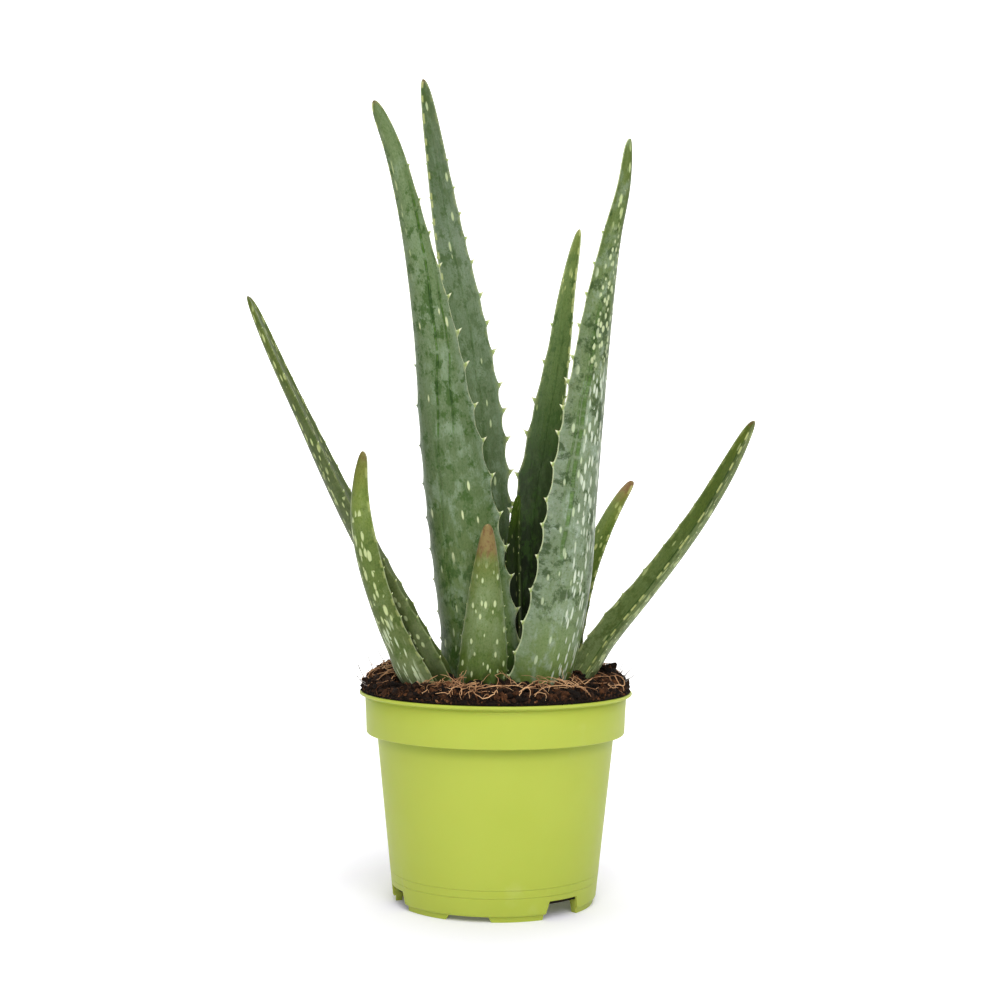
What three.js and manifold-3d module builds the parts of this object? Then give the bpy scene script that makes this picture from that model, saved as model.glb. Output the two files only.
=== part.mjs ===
// A young aloe in a 12 cm nursery pot. Millimetres, +Z up, origin on the pot's axis at foot level.
// The front of the plant faces -Y, and +X is to its right.
import * as THREE from 'three';
import { mergeVertices } from 'three/addons/utils/BufferGeometryUtils.js';
import Module from 'manifold-3d';

const wasm = await Module();
wasm.setup();

// Driving dimensions -----------------------------------------------------------------------------

const CLEARANCE = 0.3;

// bandCurl: how the band's lower edge rolls in, as [inwards, upwards] from the band's bottom corner.
const POT = {
  height: 92.3,
  rimRadius: 60,
  rimThickness: 1.4,
  wall: 1.2,
  lipRounding: 0.4,
  lipFillet: 0.5,
  bandTopRadius: 57.6,
  bandBottomRadius: 56.8,
  bandBottom: 74,
  bandCurl: [[1.6, 0], [0.4, 0.6], [0, 1.9]],
  ledgeRounding: 0.8,
  neckDrop: 0.3,
  wallMiddle: 38,
  wallTopRadius: 52.2,
  wallBottomRadius: 44.7,
  heelWidth: 0.5,
  heelHeight: 0.9,
  footRadius: 43.4,
  footHeight: 2.4,
  skirtInnerRadius: 40.6,
  floorUnderside: 5,
  segments: 60,
};

// Angles are measured from the front (-Y) towards +X.
const DRAIN_NOTCH = { angles: [41, -70, 165.5], top: 8, topWidth: 15.4, bottomWidth: 19.4 };
const FOOT_GAP = { angles: [-14.5, 103, -132], top: 2.4, topWidth: 17, bottomWidth: 20 };

const SOIL = {
  spillRadius: 59.3,
  frontRise: 3.4,
  backRise: 9,
  slopeStart: 7,
  slopeDepth: 30,
  steepness: 9,
  relief: 0.8,
  ringStep: 3.4,
  ringSetback: 0.6,
  wander: 0.9,
  segments: 54,
};

const STEM = {
  x: 1,
  y: -1,
  bottom: 40,
  hip: 56,
  shoulder: 78,
  top: 84,
  radius: 7,
  rootRadius: 3.5,
  segments: 16,
};

const UNEVENNESS = 0.1;

// A tooth's shape, as shares of its reach: half the length of its foot, the dip after it and the room
// after the last one. lean tilts it towards the leaf's tip. At a share t of the leaf's length from the
// tip it reaches atTip + taper * t of its full size, and never more than all of it.
const TOOTH = { foot: 0.85, lean: 0.25, dip: 0.12, lastRoom: 3.4, atTip: 0.15, taper: 2.2 };

// A repeatable value between -1 and 1 for a pair of whole numbers.
function grain(i, j) {
  const wave = Math.sin(i * 127.1 + j * 311.7) * 43758.5453;
  return 2 * (wave - Math.floor(wave)) - 1;
}

// Heights of a run of teeth, slightly uneven as they grow.
function every(pitch, first, last) {
  const count = Math.floor((last - first) / pitch) + 1;
  return Array.from({ length: count }, (_, n) => first + pitch * (n + UNEVENNESS * grain(n, first)));
}

// A leaf is a row of stations from just under the soil to its tip: [x, y, z, half width].
// face: direction of the upper (inner) side at the base and at the tip, degrees from +X towards +Y.
// channel: how far the margins rise above the middle of the inner side, as a share of the half width.
// plump: thickness as a share of the half width, at the base and at the tip.
// teeth: size and heights for the left and the right margin, as seen when facing the inner side.
// seat: where the leaf leaves the stem, [distance from the stem's axis, height].
const LEAVES = {
  leaf_heart: {
    stations: [[8.4, 4, 95, 6.5], [8.6, 4, 117, 6.4], [8.7, 4, 138, 5.4], [8.4, 4.5, 156, 4.2],
      [8.8, 5, 168, 3.1], [9.6, 5, 178.3, 1.8]],
    face: [215, 215],
    channel: 0.3,
    plump: [0.6, 0.7],
    seat: [2, 82.5],
    teeth: [{ size: 0.8, heights: every(8, 108, 168) }, { size: 0.8, heights: every(8, 112, 168) }],
  },
  leaf_inner_right: {
    stations: [[14, 12, 95, 12.5], [16.5, 16, 136, 12], [19, 21, 176, 10.2], [23.8, 26, 214, 7.6],
      [28.2, 30, 242, 5.8], [32, 33, 272, 4], [37, 36, 301, 2.1]],
    face: [250, 245],
    channel: 0.3,
    plump: [0.48, 0.75],
    seat: [6, 76],
    teeth: [
      { size: 2.5, heights: [...every(17, 120, 156), 171, 187, 206, 221, 239, 256] },
      { size: 1.6, heights: every(16, 128, 270) },
    ],
  },
  leaf_tall_back: {
    stations: [[-9, 21, 95, 16], [-9.2, 22, 137, 15.4], [-9.2, 24, 178, 13.8], [-11.2, 26, 217, 11.8],
      [-16.6, 28, 258, 9.3], [-24.1, 30, 296, 7.3], [-30, 32, 332, 5.1], [-35.7, 34, 369, 2.9]],
    face: [295, 295],
    channel: 0.28,
    plump: [0.46, 0.75],
    seat: [6, 75],
    teeth: [
      { size: 1.6, heights: every(14, 118, 340) },
      {
        size: 2.6,
        heights: [...every(14, 118, 162), 174, 188, 203, 216, 228, 243, 256, 269, 284, 295, 306, 318, 331],
      },
    ],
  },
  leaf_tall_left: {
    stations: [[-8, -12, 94, 17], [-8.6, -13.5, 117, 17.1], [-11.8, -15.5, 140, 16.4],
      [-17.2, -19, 176, 15], [-22.9, -23, 212, 12.1], [-27.7, -27, 247, 9.1], [-35.6, -31, 287, 5.8],
      [-44.2, -35, 321, 4], [-53, -38, 343.5, 3]],
    face: [78, 85],
    channel: 0.3,
    plump: [0.44, 0.75],
    seat: [6, 75],
    teeth: [
      { size: 2.7, heights: [114, 128, 142, 155, 169, 186, 201, 216, 233, 247, 262, 275, 289, 303, 317] },
      { size: 1.2, heights: [115, 127, 141, 154, 168, 183, 199, 216, 233] },
    ],
  },
  leaf_tall_right: {
    stations: [[20, -20, 93, 13.5], [30.7, -23, 136, 13.5], [35, -26, 177, 11.3], [38.9, -29.5, 216, 9.3],
      [42.9, -33, 252, 7.2], [47.8, -36, 285, 4.6], [52.6, -38.5, 308, 3.1], [54.4, -40, 328, 2]],
    face: [122, 118],
    channel: 0.3,
    plump: [0.5, 0.75],
    seat: [6, 75],
    teeth: [
      { size: 1.6, heights: every(14, 116, 300) },
      {
        size: 2.6,
        heights: [100, 110, 123, 137, 152, 165, 176, 191, 204, 215, 226, 236, 250, 263, 276, 289],
      },
    ],
  },
  leaf_long_left: {
    stations: [[-20.3, -21, 95, 8.8], [-40.4, -17.5, 128, 9.4], [-57, -12, 156, 9], [-71, -8, 182, 7.6],
      [-85.2, -4, 210.5, 5.8], [-98.8, 0, 238, 4.7], [-111.2, 3, 265.5, 3.3]],
    face: [0, -15],
    channel: 0.35,
    plump: [0.66, 0.8],
    seat: [6, 66],
    teeth: [
      { size: 1.3, heights: [109, 117, 126, 133, 141, 150, ...every(10, 160, 250)] },
      { size: 1.1, heights: every(10, 110, 250) },
    ],
  },
  leaf_long_right: {
    stations: [[34, -6, 94, 7.8], [49.3, -9, 117, 7.5], [65, -12, 137, 6.7], [77.6, -15, 154, 6.3],
      [89, -18, 171, 5.8], [99.8, -21, 190, 5.1], [109.8, -24, 211, 3]],
    face: [207, 205],
    channel: 0.35,
    plump: [0.62, 0.7],
    seat: [6, 64],
    teeth: [
      { size: 0.8, heights: every(10, 116, 195) },
      { size: 1.2, heights: [102, 107, 112, 117, 123, 133, 142, 152, 163, 175, 188] },
    ],
  },
  leaf_short_front: {
    stations: [[-5.4, -26, 93, 10.1], [-5.2, -28, 111, 10.1], [-4.8, -30, 127, 8.4], [-4.5, -32.5, 143, 6.2],
      [-4.1, -34.5, 155, 4.2], [-3.8, -36, 166.3, 2.1]],
    face: [92, 90],
    channel: 0.25,
    plump: [0.5, 0.7],
    seat: [6, 66],
    teeth: [
      { size: 0.8, heights: [103, 109, 115, 121, 126, 131, 137] },
      { size: 0.6, heights: every(7, 104, 140) },
    ],
  },
  leaf_short_left: {
    stations: [[-33, -23, 95, 7.9], [-43, -25, 114, 7], [-50.5, -27.5, 133, 6.3], [-55.6, -30, 151, 6.2],
      [-58.6, -32, 169, 5.3], [-58.4, -34, 184, 3.7], [-56.6, -36, 196.6, 2.2]],
    face: [48, 60],
    channel: 0.25,
    plump: [0.6, 0.7],
    seat: [6, 58],
    teeth: [
      { size: 0.9, heights: [108, 118, 126, 136, 147, 158] },
      { size: 0.5, heights: every(11, 110, 170) },
    ],
  },
  leaf_short_right: {
    stations: [[30, 17, 95, 6.2], [35, 19, 118, 5.8], [40.5, 22, 141, 5.1], [48, 26.5, 160, 4.1],
      [55.5, 31, 174.5, 3.1], [62.3, 34.5, 185, 2]],
    face: [250, 245],
    channel: 0.25,
    plump: [0.55, 0.7],
    seat: [6, 66],
    teeth: [{ size: 0.6, heights: every(8, 108, 172) }, { size: 0.6, heights: every(8, 112, 172) }],
  },
};

const LEAF_ROWS_PER_STATION = 3;
const INNER_COLUMNS = [-0.72, -0.36, 0, 0.36, 0.72];
const OUTER_COLUMNS = [-0.85, -0.5, 0, 0.5, 0.85];
const EDGE_BLUNTNESS = 0.6;
const TIP_SHARPNESS = 40;
const TIP_SETBACK = 0.35;
const ROOT_WIDTH = 0.32;
const CHANNEL_AT_TIP = 0.5;
const LENGTH_STEPS = 400;

// Small helpers ----------------------------------------------------------------------------------

const mix = (a, b, share) => a + (b - a) * share;
const clamp01 = (value) => Math.min(1, Math.max(0, value));
const turnFromFront = (degrees) => THREE.MathUtils.degToRad(degrees) - Math.PI / 2;

// A smooth curve through evenly spaced values, with the same rule as the leaf's centre line.
function smoothThrough(values, share) {
  const last = values.length - 1;
  const place = clamp01(share) * last;
  const i = Math.min(last - 1, Math.floor(place));
  const t = place - i;
  const before = i > 0 ? values[i - 1] : 2 * values[0] - values[1];
  const after = i < last - 1 ? values[i + 2] : 2 * values[last] - values[last - 1];
  const v0 = (values[i + 1] - before) / 2;
  const v1 = (after - values[i]) / 2;
  const rise = values[i + 1] - values[i];
  return values[i] + v0 * t + (3 * rise - 2 * v0 - v1) * t ** 2 + (v0 + v1 - 2 * rise) * t ** 3;
}

function toManifold(geometry) {
  const bare = geometry.clone();
  bare.deleteAttribute('normal');
  bare.deleteAttribute('uv');
  const merged = mergeVertices(bare, 1e-5);
  const mesh = new wasm.Mesh({
    numProp: 3,
    vertProperties: new Float32Array(merged.attributes.position.array),
    triVerts: new Uint32Array(merged.index.array),
  });
  return new wasm.Manifold(mesh);
}

// The body without the crumbs a cut can leave loose beside it.
function largestPiece(solid) {
  return solid.decompose().reduce((a, b) => (a.volume() >= b.volume() ? a : b));
}

function toGeometry(solid) {
  const mesh = largestPiece(solid).getMesh();
  const geometry = new THREE.BufferGeometry();
  geometry.setAttribute('position', new THREE.BufferAttribute(new Float32Array(mesh.vertProperties), 3));
  geometry.setIndex(Array.from(mesh.triVerts));
  return geometry;
}

// Points and triangles of a closed body, collected piece by piece.
class Skin {
  constructor() {
    this.points = [];
    this.triangles = [];
  }

  point(vector) {
    this.points.push(vector.x, vector.y, vector.z);
    return this.points.length / 3 - 1;
  }

  triangle(a, b, c) {
    if (a !== b && b !== c && c !== a) this.triangles.push(a, b, c);
  }

  // Joins two columns of points, each point stepping on by its share of the way up.
  zip(left, right) {
    let i = 0;
    let j = 0;
    while (i < left.length - 1 || j < right.length - 1) {
      const stepLeft = j === right.length - 1
        || (i < left.length - 1 && left[i + 1].share <= right[j + 1].share);
      if (stepLeft) {
        this.triangle(left[i].index, left[i + 1].index, right[j].index);
        i += 1;
      } else {
        this.triangle(left[i].index, right[j + 1].index, right[j].index);
        j += 1;
      }
    }
  }

  geometry() {
    const geometry = new THREE.BufferGeometry();
    geometry.setAttribute('position', new THREE.Float32BufferAttribute(this.points, 3));
    geometry.setIndex(this.triangles);
    return geometry;
  }
}

// Pot --------------------------------------------------------------------------------------------

function wallRadius(z) {
  const share = (z - POT.footHeight) / (POT.bandBottom - POT.footHeight);
  return mix(POT.wallBottomRadius, POT.wallTopRadius, share);
}

function potProfile() {
  const { height, rimRadius, rimThickness, wall, bandBottom, floorUnderside } = POT;
  const { lipRounding, ledgeRounding } = POT;
  const lipUnderside = height - rimThickness;
  const heelTop = POT.footHeight + POT.heelHeight;
  const floorTop = floorUnderside + wall;
  const innerBand = POT.bandBottomRadius - wall;
  const innerBandTop = POT.bandTopRadius - wall;
  const ledge = bandBottom + wall;
  return [
    [0, floorUnderside],
    [POT.skirtInnerRadius, floorUnderside],
    [POT.skirtInnerRadius, 0],
    [POT.footRadius, 0],
    [POT.footRadius, POT.footHeight],
    [POT.wallBottomRadius - POT.heelWidth, POT.footHeight],
    [wallRadius(heelTop), heelTop],
    [wallRadius(POT.wallMiddle), POT.wallMiddle],
    [POT.wallTopRadius, bandBottom - POT.neckDrop],
    ...POT.bandCurl.map(([inwards, upwards]) => [POT.bandBottomRadius - inwards, bandBottom + upwards]),
    [POT.bandTopRadius, lipUnderside - lipRounding],
    [POT.bandTopRadius + POT.lipFillet, lipUnderside],
    [rimRadius - lipRounding, lipUnderside],
    [rimRadius, height - rimThickness / 2],
    [rimRadius - lipRounding, height],
    [innerBandTop, height],
    [innerBand, ledge + ledgeRounding],
    [innerBand - ledgeRounding, ledge],
    [wallRadius(ledge) - wall, ledge],
    [wallRadius(floorTop) - wall, floorTop],
    [0, floorTop],
  ];
}

// A wedge that is wider at the floor, laid across the foot ring at each of the given angles.
function cutFoot(solid, cut) {
  const below = 1;
  const slope = (cut.bottomWidth - cut.topWidth) / 2 / cut.top;
  const low = cut.bottomWidth / 2 + slope * below;
  const outline = new THREE.Shape([
    new THREE.Vector2(-low, -below),
    new THREE.Vector2(low, -below),
    new THREE.Vector2(cut.topWidth / 2, cut.top),
    new THREE.Vector2(-cut.topWidth / 2, cut.top),
  ]);
  const reachIn = 33;
  const reachOut = 16;
  return cut.angles.reduce((body, angle) => {
    const wedge = new THREE.ExtrudeGeometry(outline, { depth: reachOut, bevelEnabled: false });
    wedge.rotateX(Math.PI / 2);
    wedge.rotateZ(Math.PI / 2);
    wedge.translate(reachIn, 0, 0);
    wedge.rotateZ(turnFromFront(angle));
    return body.subtract(toManifold(wedge));
  }, solid);
}

function makePot() {
  const profile = potProfile().map(([radius, z]) => new THREE.Vector2(radius, z));
  const shell = new THREE.LatheGeometry(profile, POT.segments);
  shell.rotateX(Math.PI / 2);
  const body = cutFoot(toManifold(shell), DRAIN_NOTCH);
  return toGeometry(cutFoot(body, FOOT_GAP));
}

// Leaves -----------------------------------------------------------------------------------------

// The stations with the leaf's seat on the stem put in front of them.
function leafCourse(leaf) {
  const [x, y] = leaf.stations[0];
  const away = new THREE.Vector2(x - STEM.x, y - STEM.y).setLength(leaf.seat[0]);
  const seat = [STEM.x + away.x, STEM.y + away.y, leaf.seat[1], leaf.stations[0][3] * ROOT_WIDTH];
  const stations = [seat, ...leaf.stations];
  const points = stations.map(([px, py, pz]) => new THREE.Vector3(px, py, pz));
  const centreLine = new THREE.CatmullRomCurve3(points, false, 'catmullrom', 0.5);
  centreLine.arcLengthDivisions = LENGTH_STEPS;
  return { centreLine, halfWidths: stations.map((station) => station[3]), spans: stations.length - 1 };
}

// The cross section at a share of the way from seat to tip.
function leafSection(leaf, course, share, grow) {
  const along = course.centreLine.getTangent(share);
  const heading = THREE.MathUtils.degToRad(mix(leaf.face[0], leaf.face[1], share));
  const inner = new THREE.Vector3(Math.cos(heading), Math.sin(heading), 0);
  inner.addScaledVector(along, -inner.dot(along)).normalize();
  const side = new THREE.Vector3().crossVectors(along, inner);
  const rounding = Math.sqrt(Math.max(0, 1 - share ** TIP_SHARPNESS));
  const half = smoothThrough(course.halfWidths, share) * rounding;
  const opened = clamp01(share * course.spans);
  return {
    centre: course.centreLine.getPoint(share),
    along,
    inner,
    side,
    half: half + grow,
    thick: half * mix(leaf.plump[0], leaf.plump[1], share) + 2 * grow,
    fold: half * leaf.channel * opened * mix(1, CHANNEL_AT_TIP, share),
  };
}

// A point of the skin: across runs from -1 to 1, and outer picks the convex side.
function leafPoint(section, across, outer, reach) {
  const { centre, along, inner, side, half, thick, fold } = section;
  const innerSide = (thick - fold) / 2 + fold * across ** 2;
  const bulge = outer ? thick * (1 - across ** 2) ** EDGE_BLUNTNESS : 0;
  const point = centre.clone();
  point.addScaledVector(side, half * across);
  point.addScaledVector(inner, innerSide - bulge);
  if (reach === 0) return point;
  const outward = side.clone().multiplyScalar(half * Math.sign(across)).addScaledVector(inner, 2 * fold);
  outward.normalize().addScaledVector(along, reach > 0 ? TOOTH.lean : 0);
  return point.addScaledVector(outward, reach);
}

// Where a margin's points lie: the foot, the point and the foot of each tooth, and the dip between.
function marginSteps(leaf, course, across) {
  const { size, heights } = leaf.teeth[across > 0 ? 1 : 0];
  const lengths = course.centreLine.getLengths();
  const last = lengths.length - 1;
  const length = lengths[last];
  const climb = lengths.map((_, i) => (
    leafPoint(leafSection(leaf, course, i / last, 0), across, false, 0).z
  ));
  const places = heights.map((height) => lengths[climb.findIndex((z) => z >= height)]);
  const steps = places.flatMap((place, n) => {
    const reach = size * clamp01(TOOTH.atTip + (TOOTH.taper * (length - place)) / length);
    const foot = TOOTH.foot * reach;
    const next = n < places.length - 1 ? places[n + 1] : place + TOOTH.lastRoom * reach;
    const dip = [(place + next) / 2, -TOOTH.dip * reach];
    return [[place - foot, 0], [place, reach], [place + foot, 0], dip];
  });
  return steps.map(([distance, reach]) => [course.centreLine.getUtoTmapping(distance / length), reach]);
}

function leafSolid(leaf, grow) {
  const course = leafCourse(leaf);
  const skin = new Skin();
  const section = (share) => leafSection(leaf, course, share, grow);
  const rows = course.spans * LEAF_ROWS_PER_STATION;
  const shares = Array.from({ length: rows }, (_, row) => row / rows);
  shares.push(1 - TIP_SETBACK / rows);
  const tip = { share: 1, index: skin.point(course.centreLine.getPoint(1)) };
  const column = (across, outer) => [
    ...shares.map((share) => ({ share, index: skin.point(leafPoint(section(share), across, outer, 0)) })),
    tip,
  ];
  const margin = (across) => {
    const teeth = marginSteps(leaf, course, across);
    const toothed = teeth.map(([share]) => share);
    const plain = shares.filter((share) => share < Math.min(...toothed) || share > Math.max(...toothed));
    const steps = [...plain.map((share) => [share, 0]), ...teeth].sort((a, b) => a[0] - b[0]);
    return [
      ...steps.map(([share, reach]) => ({
        share,
        index: skin.point(leafPoint(section(share), across, false, reach)),
      })),
      tip,
    ];
  };
  const ring = [
    margin(-1),
    ...OUTER_COLUMNS.map((across) => column(across, true)),
    margin(1),
    ...INNER_COLUMNS.slice().reverse().map((across) => column(across, false)),
  ];
  const root = skin.point(section(0).centre);
  ring.forEach((left, i) => {
    const right = ring[(i + 1) % ring.length];
    skin.zip(left, right);
    skin.triangle(root, left[0].index, right[0].index);
  });
  return toManifold(skin.geometry());
}

// Stem -------------------------------------------------------------------------------------------

function stemSolid(grow) {
  const outline = [
    [0, STEM.bottom - grow],
    [STEM.rootRadius + grow, STEM.bottom - grow],
    [STEM.radius + grow, STEM.hip],
    [STEM.radius + grow, STEM.shoulder],
    [STEM.rootRadius + grow, STEM.top + grow],
    [0, STEM.top + grow],
  ];
  const body = new THREE.LatheGeometry(outline.map(([r, z]) => new THREE.Vector2(r, z)), STEM.segments);
  body.rotateX(Math.PI / 2);
  body.translate(STEM.x, STEM.y, 0);
  return toManifold(body);
}

// Soil -------------------------------------------------------------------------------------------

// Height of the mound: low in front of the leaves and heaped behind them.
function soilHeight(x, y) {
  const front = clamp01((SOIL.slopeStart - y) / SOIL.slopeDepth);
  const rise = mix(SOIL.backRise, SOIL.frontRise, front);
  const edge = (Math.hypot(x, y) / SOIL.spillRadius) ** SOIL.steepness;
  return POT.height + CLEARANCE + rise * (1 - edge);
}

function soilSolid() {
  const skin = new Skin();
  const inside = POT.bandTopRadius - POT.wall - CLEARANCE;
  const inLedge = POT.bandBottomRadius - POT.wall - CLEARANCE;
  const ledge = POT.bandBottom + POT.wall;
  const floor = POT.floorUnderside + POT.wall + CLEARANCE;
  const sideRings = [
    [wallRadius(floor) - POT.wall - CLEARANCE, floor],
    [wallRadius(ledge) - POT.wall - CLEARANCE, ledge + CLEARANCE],
    [inLedge - POT.ledgeRounding, ledge + CLEARANCE],
    [inLedge, ledge + POT.ledgeRounding + CLEARANCE],
    [inside, POT.height + CLEARANCE],
    [SOIL.spillRadius, POT.height + CLEARANCE],
  ];
  const topRings = Math.floor(SOIL.spillRadius / SOIL.ringStep);
  const rings = sideRings.map(([radius, z]) => soilRing(skin, () => [radius, z]));
  for (let ring = 1; ring < topRings; ring += 1) {
    const radius = SOIL.spillRadius * (1 - (ring - SOIL.ringSetback) / (topRings - SOIL.ringSetback));
    rings.push(soilRing(skin, (turn, i) => {
      const r = Math.min(radius + SOIL.wander * grain(i, ring), SOIL.spillRadius);
      const z = soilHeight(r * Math.cos(turn), r * Math.sin(turn));
      return [r, z + SOIL.relief * (1 + grain(ring, i))];
    }));
  }
  const bottom = skin.point(new THREE.Vector3(0, 0, floor));
  const top = skin.point(new THREE.Vector3(0, 0, soilHeight(0, 0)));
  const ends = rings[rings.length - 1];
  for (let i = 0; i < SOIL.segments; i += 1) {
    const next = (i + 1) % SOIL.segments;
    skin.triangle(bottom, rings[0][next], rings[0][i]);
    skin.triangle(top, ends[i], ends[next]);
    for (let ring = 0; ring < rings.length - 1; ring += 1) {
      skin.triangle(rings[ring][i], rings[ring][next], rings[ring + 1][next]);
      skin.triangle(rings[ring][i], rings[ring + 1][next], rings[ring + 1][i]);
    }
  }
  return toManifold(skin.geometry());
}

function soilRing(skin, place) {
  return Array.from({ length: SOIL.segments }, (_, i) => {
    const turn = (i / SOIL.segments) * 2 * Math.PI;
    const [radius, z] = place(turn, i);
    return skin.point(new THREE.Vector3(radius * Math.cos(turn), radius * Math.sin(turn), z));
  });
}

// Assembly ---------------------------------------------------------------------------------------

const plant = new THREE.Group();

function addPart(name, geometry, colour, roughness) {
  const material = new THREE.MeshStandardMaterial({ color: colour, roughness, metalness: 0 });
  const mesh = new THREE.Mesh(geometry, material);
  mesh.name = name;
  plant.add(mesh);
}

addPart('pot', makePot(), 0xc1ce58, 0.45);

const stem = stemSolid(0);
addPart('stem', toGeometry(stem), 0x8a7a4e, 0.8);

// Inner leaves are placed first, and each later leaf is trimmed where it wraps round the others.
let taken = stemSolid(CLEARANCE);
let sockets = stemSolid(CLEARANCE);
for (const [name, leaf] of Object.entries(LEAVES)) {
  const blade = leafSolid(leaf, 0).subtract(taken);
  addPart(name, toGeometry(blade), 0x5f7f55, 0.5);
  const room = leafSolid(leaf, CLEARANCE);
  taken = taken.add(room);
  sockets = sockets.add(room);
}

addPart('soil', toGeometry(soilSolid().subtract(sockets)), 0x3a251b, 0.95);

export default plant;
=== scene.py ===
"""A young potted aloe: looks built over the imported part. Metres, +Z up, the front faces -Y."""

import math

import bpy
import numpy as np
from mathutils import Matrix, Vector, noise
from mathutils.bvhtree import BVHTree


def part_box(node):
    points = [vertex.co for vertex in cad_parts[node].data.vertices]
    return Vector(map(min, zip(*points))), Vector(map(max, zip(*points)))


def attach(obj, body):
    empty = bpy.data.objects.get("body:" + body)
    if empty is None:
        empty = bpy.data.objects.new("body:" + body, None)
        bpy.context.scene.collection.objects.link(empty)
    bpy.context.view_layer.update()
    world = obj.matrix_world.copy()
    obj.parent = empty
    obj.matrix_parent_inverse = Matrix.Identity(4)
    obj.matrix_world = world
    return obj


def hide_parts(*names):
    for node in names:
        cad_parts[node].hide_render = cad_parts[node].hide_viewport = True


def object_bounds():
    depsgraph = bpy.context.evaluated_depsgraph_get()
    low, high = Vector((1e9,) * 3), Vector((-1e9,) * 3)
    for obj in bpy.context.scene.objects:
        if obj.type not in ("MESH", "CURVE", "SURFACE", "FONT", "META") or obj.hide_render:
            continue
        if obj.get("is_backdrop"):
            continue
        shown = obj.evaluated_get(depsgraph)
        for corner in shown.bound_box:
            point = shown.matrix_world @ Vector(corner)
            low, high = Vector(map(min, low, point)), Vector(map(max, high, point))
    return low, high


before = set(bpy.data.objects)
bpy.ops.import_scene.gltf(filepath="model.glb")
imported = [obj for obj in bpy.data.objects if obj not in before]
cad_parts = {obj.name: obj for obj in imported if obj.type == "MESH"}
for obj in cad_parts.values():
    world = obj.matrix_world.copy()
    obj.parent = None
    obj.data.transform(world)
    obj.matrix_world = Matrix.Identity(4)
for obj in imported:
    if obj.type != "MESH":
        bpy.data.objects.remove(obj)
CAD_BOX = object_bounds()

bl_info = {
    "name": "Potted aloe",
    "version": (1, 0, 0),
    "blender": (4, 5, 0),
    "location": "3D View > Sidebar > Aloe",
    "description": "Builds a young aloe in a green nursery pot, with its soil, and a plain studio stage",
    "category": "Add Mesh",
}

MM = 0.001
SOIL_RIM = 0.0926  # level of the soil's lower edge, just above the pot's lip
SPILL_RADIUS = 0.0593  # how far the soil and all that lies on it reach out
STEM_AXIS = np.array((1.0, -1.0))  # in millimetres


# --- The leaves, in millimetres ---


def grain(i, j):
    """A repeatable value between -1 and 1 for a pair of numbers."""
    wave = math.sin(i * 127.1 + j * 311.7) * 43758.5453
    return 2 * (wave - math.floor(wave)) - 1


def every(pitch, first, last):
    """Heights of a run of teeth, slightly uneven as they grow."""
    count = math.floor((last - first) / pitch) + 1
    return [first + pitch * (n + 0.1 * grain(n, first)) for n in range(count)]


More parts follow.
